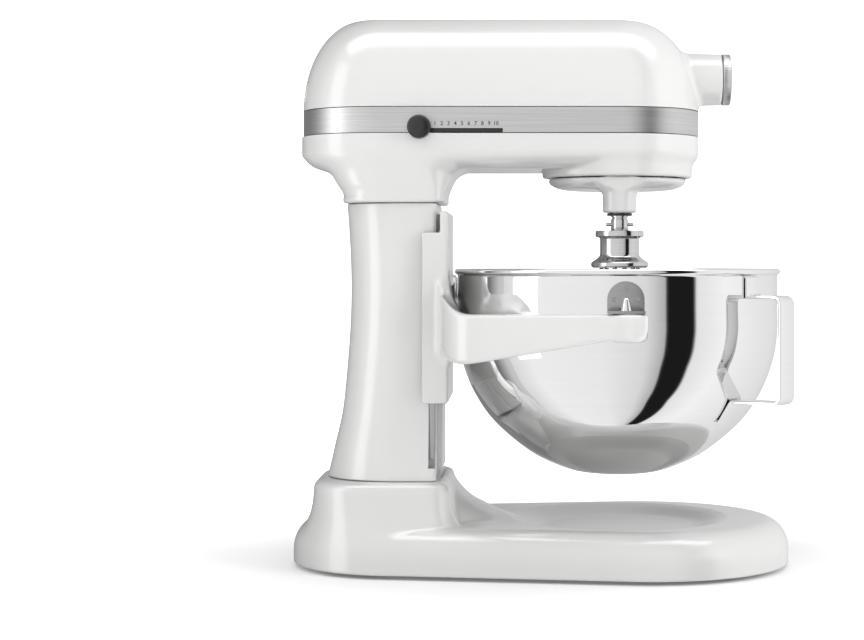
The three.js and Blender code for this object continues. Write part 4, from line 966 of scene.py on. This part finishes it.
# The side profile of both arms: along the underside to the pin's boss and back over the top.
ARM = [(-76, 168)] + bezier([(-76, 168), (-68, 160), (-60, 158.5), (-46, 161)], np.linspace(0.1, 1, 10))
ARM += [(45, 176), (49, 175.9)] + arc(63.4, 186, 10.6, -80, 0, 8) + [(74, 195), (-52, 195)]
ARM += bezier([(-52, 195), (-66, 195), (-76, 215)], np.linspace(0.125, 1, 8))
BOWL_CLEAR_R = 126.6


def support_field(x, y, z):
    side = polygon_field(x, z, ARM)
    step = np.clip((x - 22) / 22, 0, 1)
    outer = plan_field(x, y, -74.4, 200, 141, 40, 40) + 3.0 * step ** 2 * (3 - 2 * step)
    ring = np.maximum(outer, -plan_field(x, y, -60.9, 200, 127.5, 40, 40))
    arms = rounded_and(side, ring, 3.6)
    pad = rounded_and(np.hypot(x - 60.8, np.abs(y) - 128.0) - 13.0, np.maximum(175.2 - z, z - 195), 4.5)
    arms = filleted_or(arms, pad, 2.0)
    shell = rounded_and(plan_field(x, y, -89, -69.6, 57.5, 0.5, 2.0), np.maximum(126.8 - z, z - 270), 1.2)
    inside = plan_field(x, y, -120, -74.4, 54, 0.5, 0.5)
    shell = rounded_and(rounded_and(shell, -inside, 0.8), np.minimum(z - 254, -75.6 - x), 1.4)
    lug = rounded_and(np.maximum(np.abs(y) - 5, np.abs(z - 212) - 6), np.maximum(x + 73, -135 - x), 1.5)
    whole = filleted_or(arms, shell, 11.0)
    whole = filleted_or(whole, lug, 1.5)
    whole = np.maximum(whole, BOWL_CLEAR_R - np.hypot(x - BOWL_X, y))
    link = np.hypot(x - LINK_X, z - 212) - 3.2
    return np.maximum(whole, -np.maximum(link, np.abs(y) - 6))


def make_support():
    xs = planes(support_low.x - 2, support_high.x + 2, 2.0, [(-92, -58, 1.2)])
    low, high = support_low.y - 2, support_high.y + 2
    ys = planes(low, high, 2.0, [(-60, -51, 1.2), (51, 60, 1.2), (low, -124, 1.6), (124, high, 1.6)])
    zs = planes(support_low.z - 2, support_high.z + 2, 2.0, [(155, 200, 1.5)])
    mesh = skin(support_field, xs, ys, zs)
    add_piece("support_casting", mesh, "white_enamel", "bowl_support", "bowl_support", sharp=50)
    for name in ("locating_pin_left", "locating_pin_right"):
        low, high = box_mm(name)
        at = middle_of(name)
        profile = [(0, low.z), (3, low.z), (3, 195.2), (4.4, 195.3), (4.25, 196.2), (3.2, 200.8),
                   (2.2, 205.2), (1.75, 206.1), (1.2, high.z), (0, high.z)]
        cone = turned(profile, (at.x, at.y, 0), sides=48)
        add_piece(name + "_cone", cone, "bowl_steel", "bowl_support", name)


def make_lever():
    x, y, z = middle_of("lift_lever").x, 65.0, 165.0  # the pivot's centre, and the arm's plane in y
    back, face, length = lever_low.y, lever_high.y, lever_high.z - z
    hub = turned([(5.2, back), (12.2, back), (13, back + 0.8), (12.7, 66.4), (12.2, 68.2), (11.2, face),
                  (3, face), (0, face)], (x, 0, z), "y", 96)
    screw = turned([(0, face - 0.6), (2.4, face - 0.6), (2.6, face - 0.2), (0, face - 0.2)],
                   (x, 0, z), "y", 32)
    arm = turned([(0, 4), (5.4, 4), (5.5, 12), (5.3, 18), (4.8, 30), (4.3, 48), (4.1, length), (0, length)],
                 (x, y, z), "z", 48)
    add_piece("lever_arm", joined(hub, screw, arm), "machined_steel", "lift_handle", "lift_lever")
    low, high = box_mm("lift_knob")
    r = (high.x - low.x) / 2
    route = spline([(0, low.z), (7.2, low.z), (8.6, low.z + 1.4), (10.4, low.z + 6.5), (r, low.z + 14),
                    (10.4, low.z + 20), (8.2, high.z - 3), (4.4, high.z - 0.6), (0, high.z)], 5)
    grip = turned([(max(0, a), b) for a, b in route], (x, y, 0), sides=64)
    add_piece("lever_grip", grip, "black_plastic", "lift_handle", "lift_knob")


# ---------------------------------------------------------------- stage, light and camera
FLOOR_R = 4000


def make_stage():
    disc = [(FLOOR_R * math.cos(a), FLOOR_R * math.sin(a), 0) for a in np.linspace(0, 2 * math.pi, 65)[:-1]]
    floor = placed("floor", mesh_from(disc, [tuple(range(64))]))
    surface = Finish("floor", Roughness=0.6, Emission_Color=(1, 1, 1, 1))
    surface.colour(surface.noise(3.0, 2.0), (0.88, 0.88, 0.88), 0.004)
    # Painted glow: the floor gives off light of its own, weak close to the mixer and strong further out, so
    # it reads white far away while the shadows next to the base stay dark.
    distance = surface.tree.nodes.new("ShaderNodeVectorMath")
    distance.operation = "LENGTH"
    surface.tree.links.new(surface.place, distance.inputs[0])
    painted_floor_glow = surface.tree.nodes.new("ShaderNodeMapRange")
    for end, value in (("From Min", 0.16), ("From Max", 0.6), ("To Min", 0.05), ("To Max", 0.8)):
        painted_floor_glow.inputs[end].default_value = value
    surface.tree.links.new(distance.outputs["Value"], painted_floor_glow.inputs["Value"])
    surface.tree.links.new(painted_floor_glow.outputs["Result"], surface.shader.inputs["Emission Strength"])
    floor.data.materials.append(surface.material)
    floor.visible_glossy = False

    wall = [(-9000, 3900, -1500), (9000, 3900, -1500), (9000, 3900, 6000), (-9000, 3900, 6000)]
    backdrop = placed("backdrop", mesh_from(wall, [(0, 1, 2, 3)]))
    glow = Finish("backdrop", Emission_Strength=0.6)
    glow.shader.inputs["Emission Color"].default_value = (1, 1, 1, 1)
    glow.colour(glow.noise(0.5, 1.0), (0.9, 0.9, 0.9), 0.005)
    backdrop.data.materials.append(glow.material)
    backdrop.visible_glossy = False
    backdrop.visible_diffuse = False
    backdrop.visible_shadow = False


# Radiance of the studio by azimuth, from -X through -Y (where the camera stands) and +X to +Y
# and back: soft white walls, a black flag at the front right and shade behind the left side.
SURROUND = [(-180, 0.80), (-160, 1.0), (-105, 0.95), (-72, 0.80), (-59, 0.50), (-57.5, 0.012), (-37, 0.012),
            (-35, 0.90), (-10, 1.05), (50, 0.85), (88, 0.60), (100, 0.22), (165, 0.20), (176, 0.65)]


def make_world():
    world = bpy.data.worlds.new("studio")
    bpy.context.scene.world = world
    world.use_nodes = True
    tree = world.node_tree
    link, new = tree.links.new, tree.nodes.new
    split = new("ShaderNodeSeparateXYZ")
    link(new("ShaderNodeTexCoord").outputs["Generated"], split.inputs["Vector"])
    azimuth = new("ShaderNodeMath")
    azimuth.operation = "ARCTAN2"
    link(split.outputs["Y"], azimuth.inputs[0])
    link(split.outputs["X"], azimuth.inputs[1])
    spread = new("ShaderNodeMapRange")
    spread.inputs["From Min"].default_value = -math.pi
    spread.inputs["From Max"].default_value = math.pi
    link(azimuth.outputs["Value"], spread.inputs["Value"])
    ramp = new("ShaderNodeValToRGB")
    stops = ramp.color_ramp.elements
    for angle, value in SURROUND[1:-1]:
        stops.new((angle / 180 + 1) / 2)
    for stop, (angle, value) in zip(stops, SURROUND):
        stop.position = (angle / 180 + 1) / 2
        stop.color = (value, value, value, 1)
    link(spread.outputs["Result"], ramp.inputs["Fac"])
    link(ramp.outputs["Color"], tree.nodes["Background"].inputs["Color"])
    tree.nodes["Background"].inputs["Strength"].default_value = 1.05


def make_light(name, at, size, power, aim):
    light = bpy.data.lights.new(name, "AREA")
    light.shape = "RECTANGLE"
    light.size, light.size_y = size
    light.energy = power
    lamp = placed(name, light)
    lamp.location = at
    lamp.rotation_euler = (Vector(aim) - Vector(at)).to_track_quat("-Z", "Y").to_euler()
    return lamp


def make_camera():
    data = bpy.data.cameras.new("camera")
    data.sensor_width = 36.0
    data.lens = 81.04
    data.shift_x = -0.1019
    data.shift_y = -0.0648
    camera = placed("camera", data)
    camera.location = (-0.0162, -1.5, 0.2305)
    camera.rotation_euler = (math.radians(90), 0, 0)
    bpy.context.scene.camera = camera


make_camera()
make_world()
make_stage()
make_light("overhead", (0.0, -0.3, 1.75), (2.6, 0.6), 12.0, (0, 0, 0.2))
make_light("left_strip", (-1.5, -0.62, 0.45), (0.6, 2.0), 5.5, (0, 0, 0.25))
make_light("low_fill", (1.3, -0.9, 0.6), (0.8, 0.8), 10.0, (0.05, 0, 0.03)).visible_glossy = False
bpy.context.scene.view_settings.view_transform = "Standard"
paint_frame()
make_base()
make_column()
make_housing()
make_band()
make_cover()
make_head_fittings()
make_planetary()
make_bowl()
make_bowl_fittings()
make_support()
make_lever()
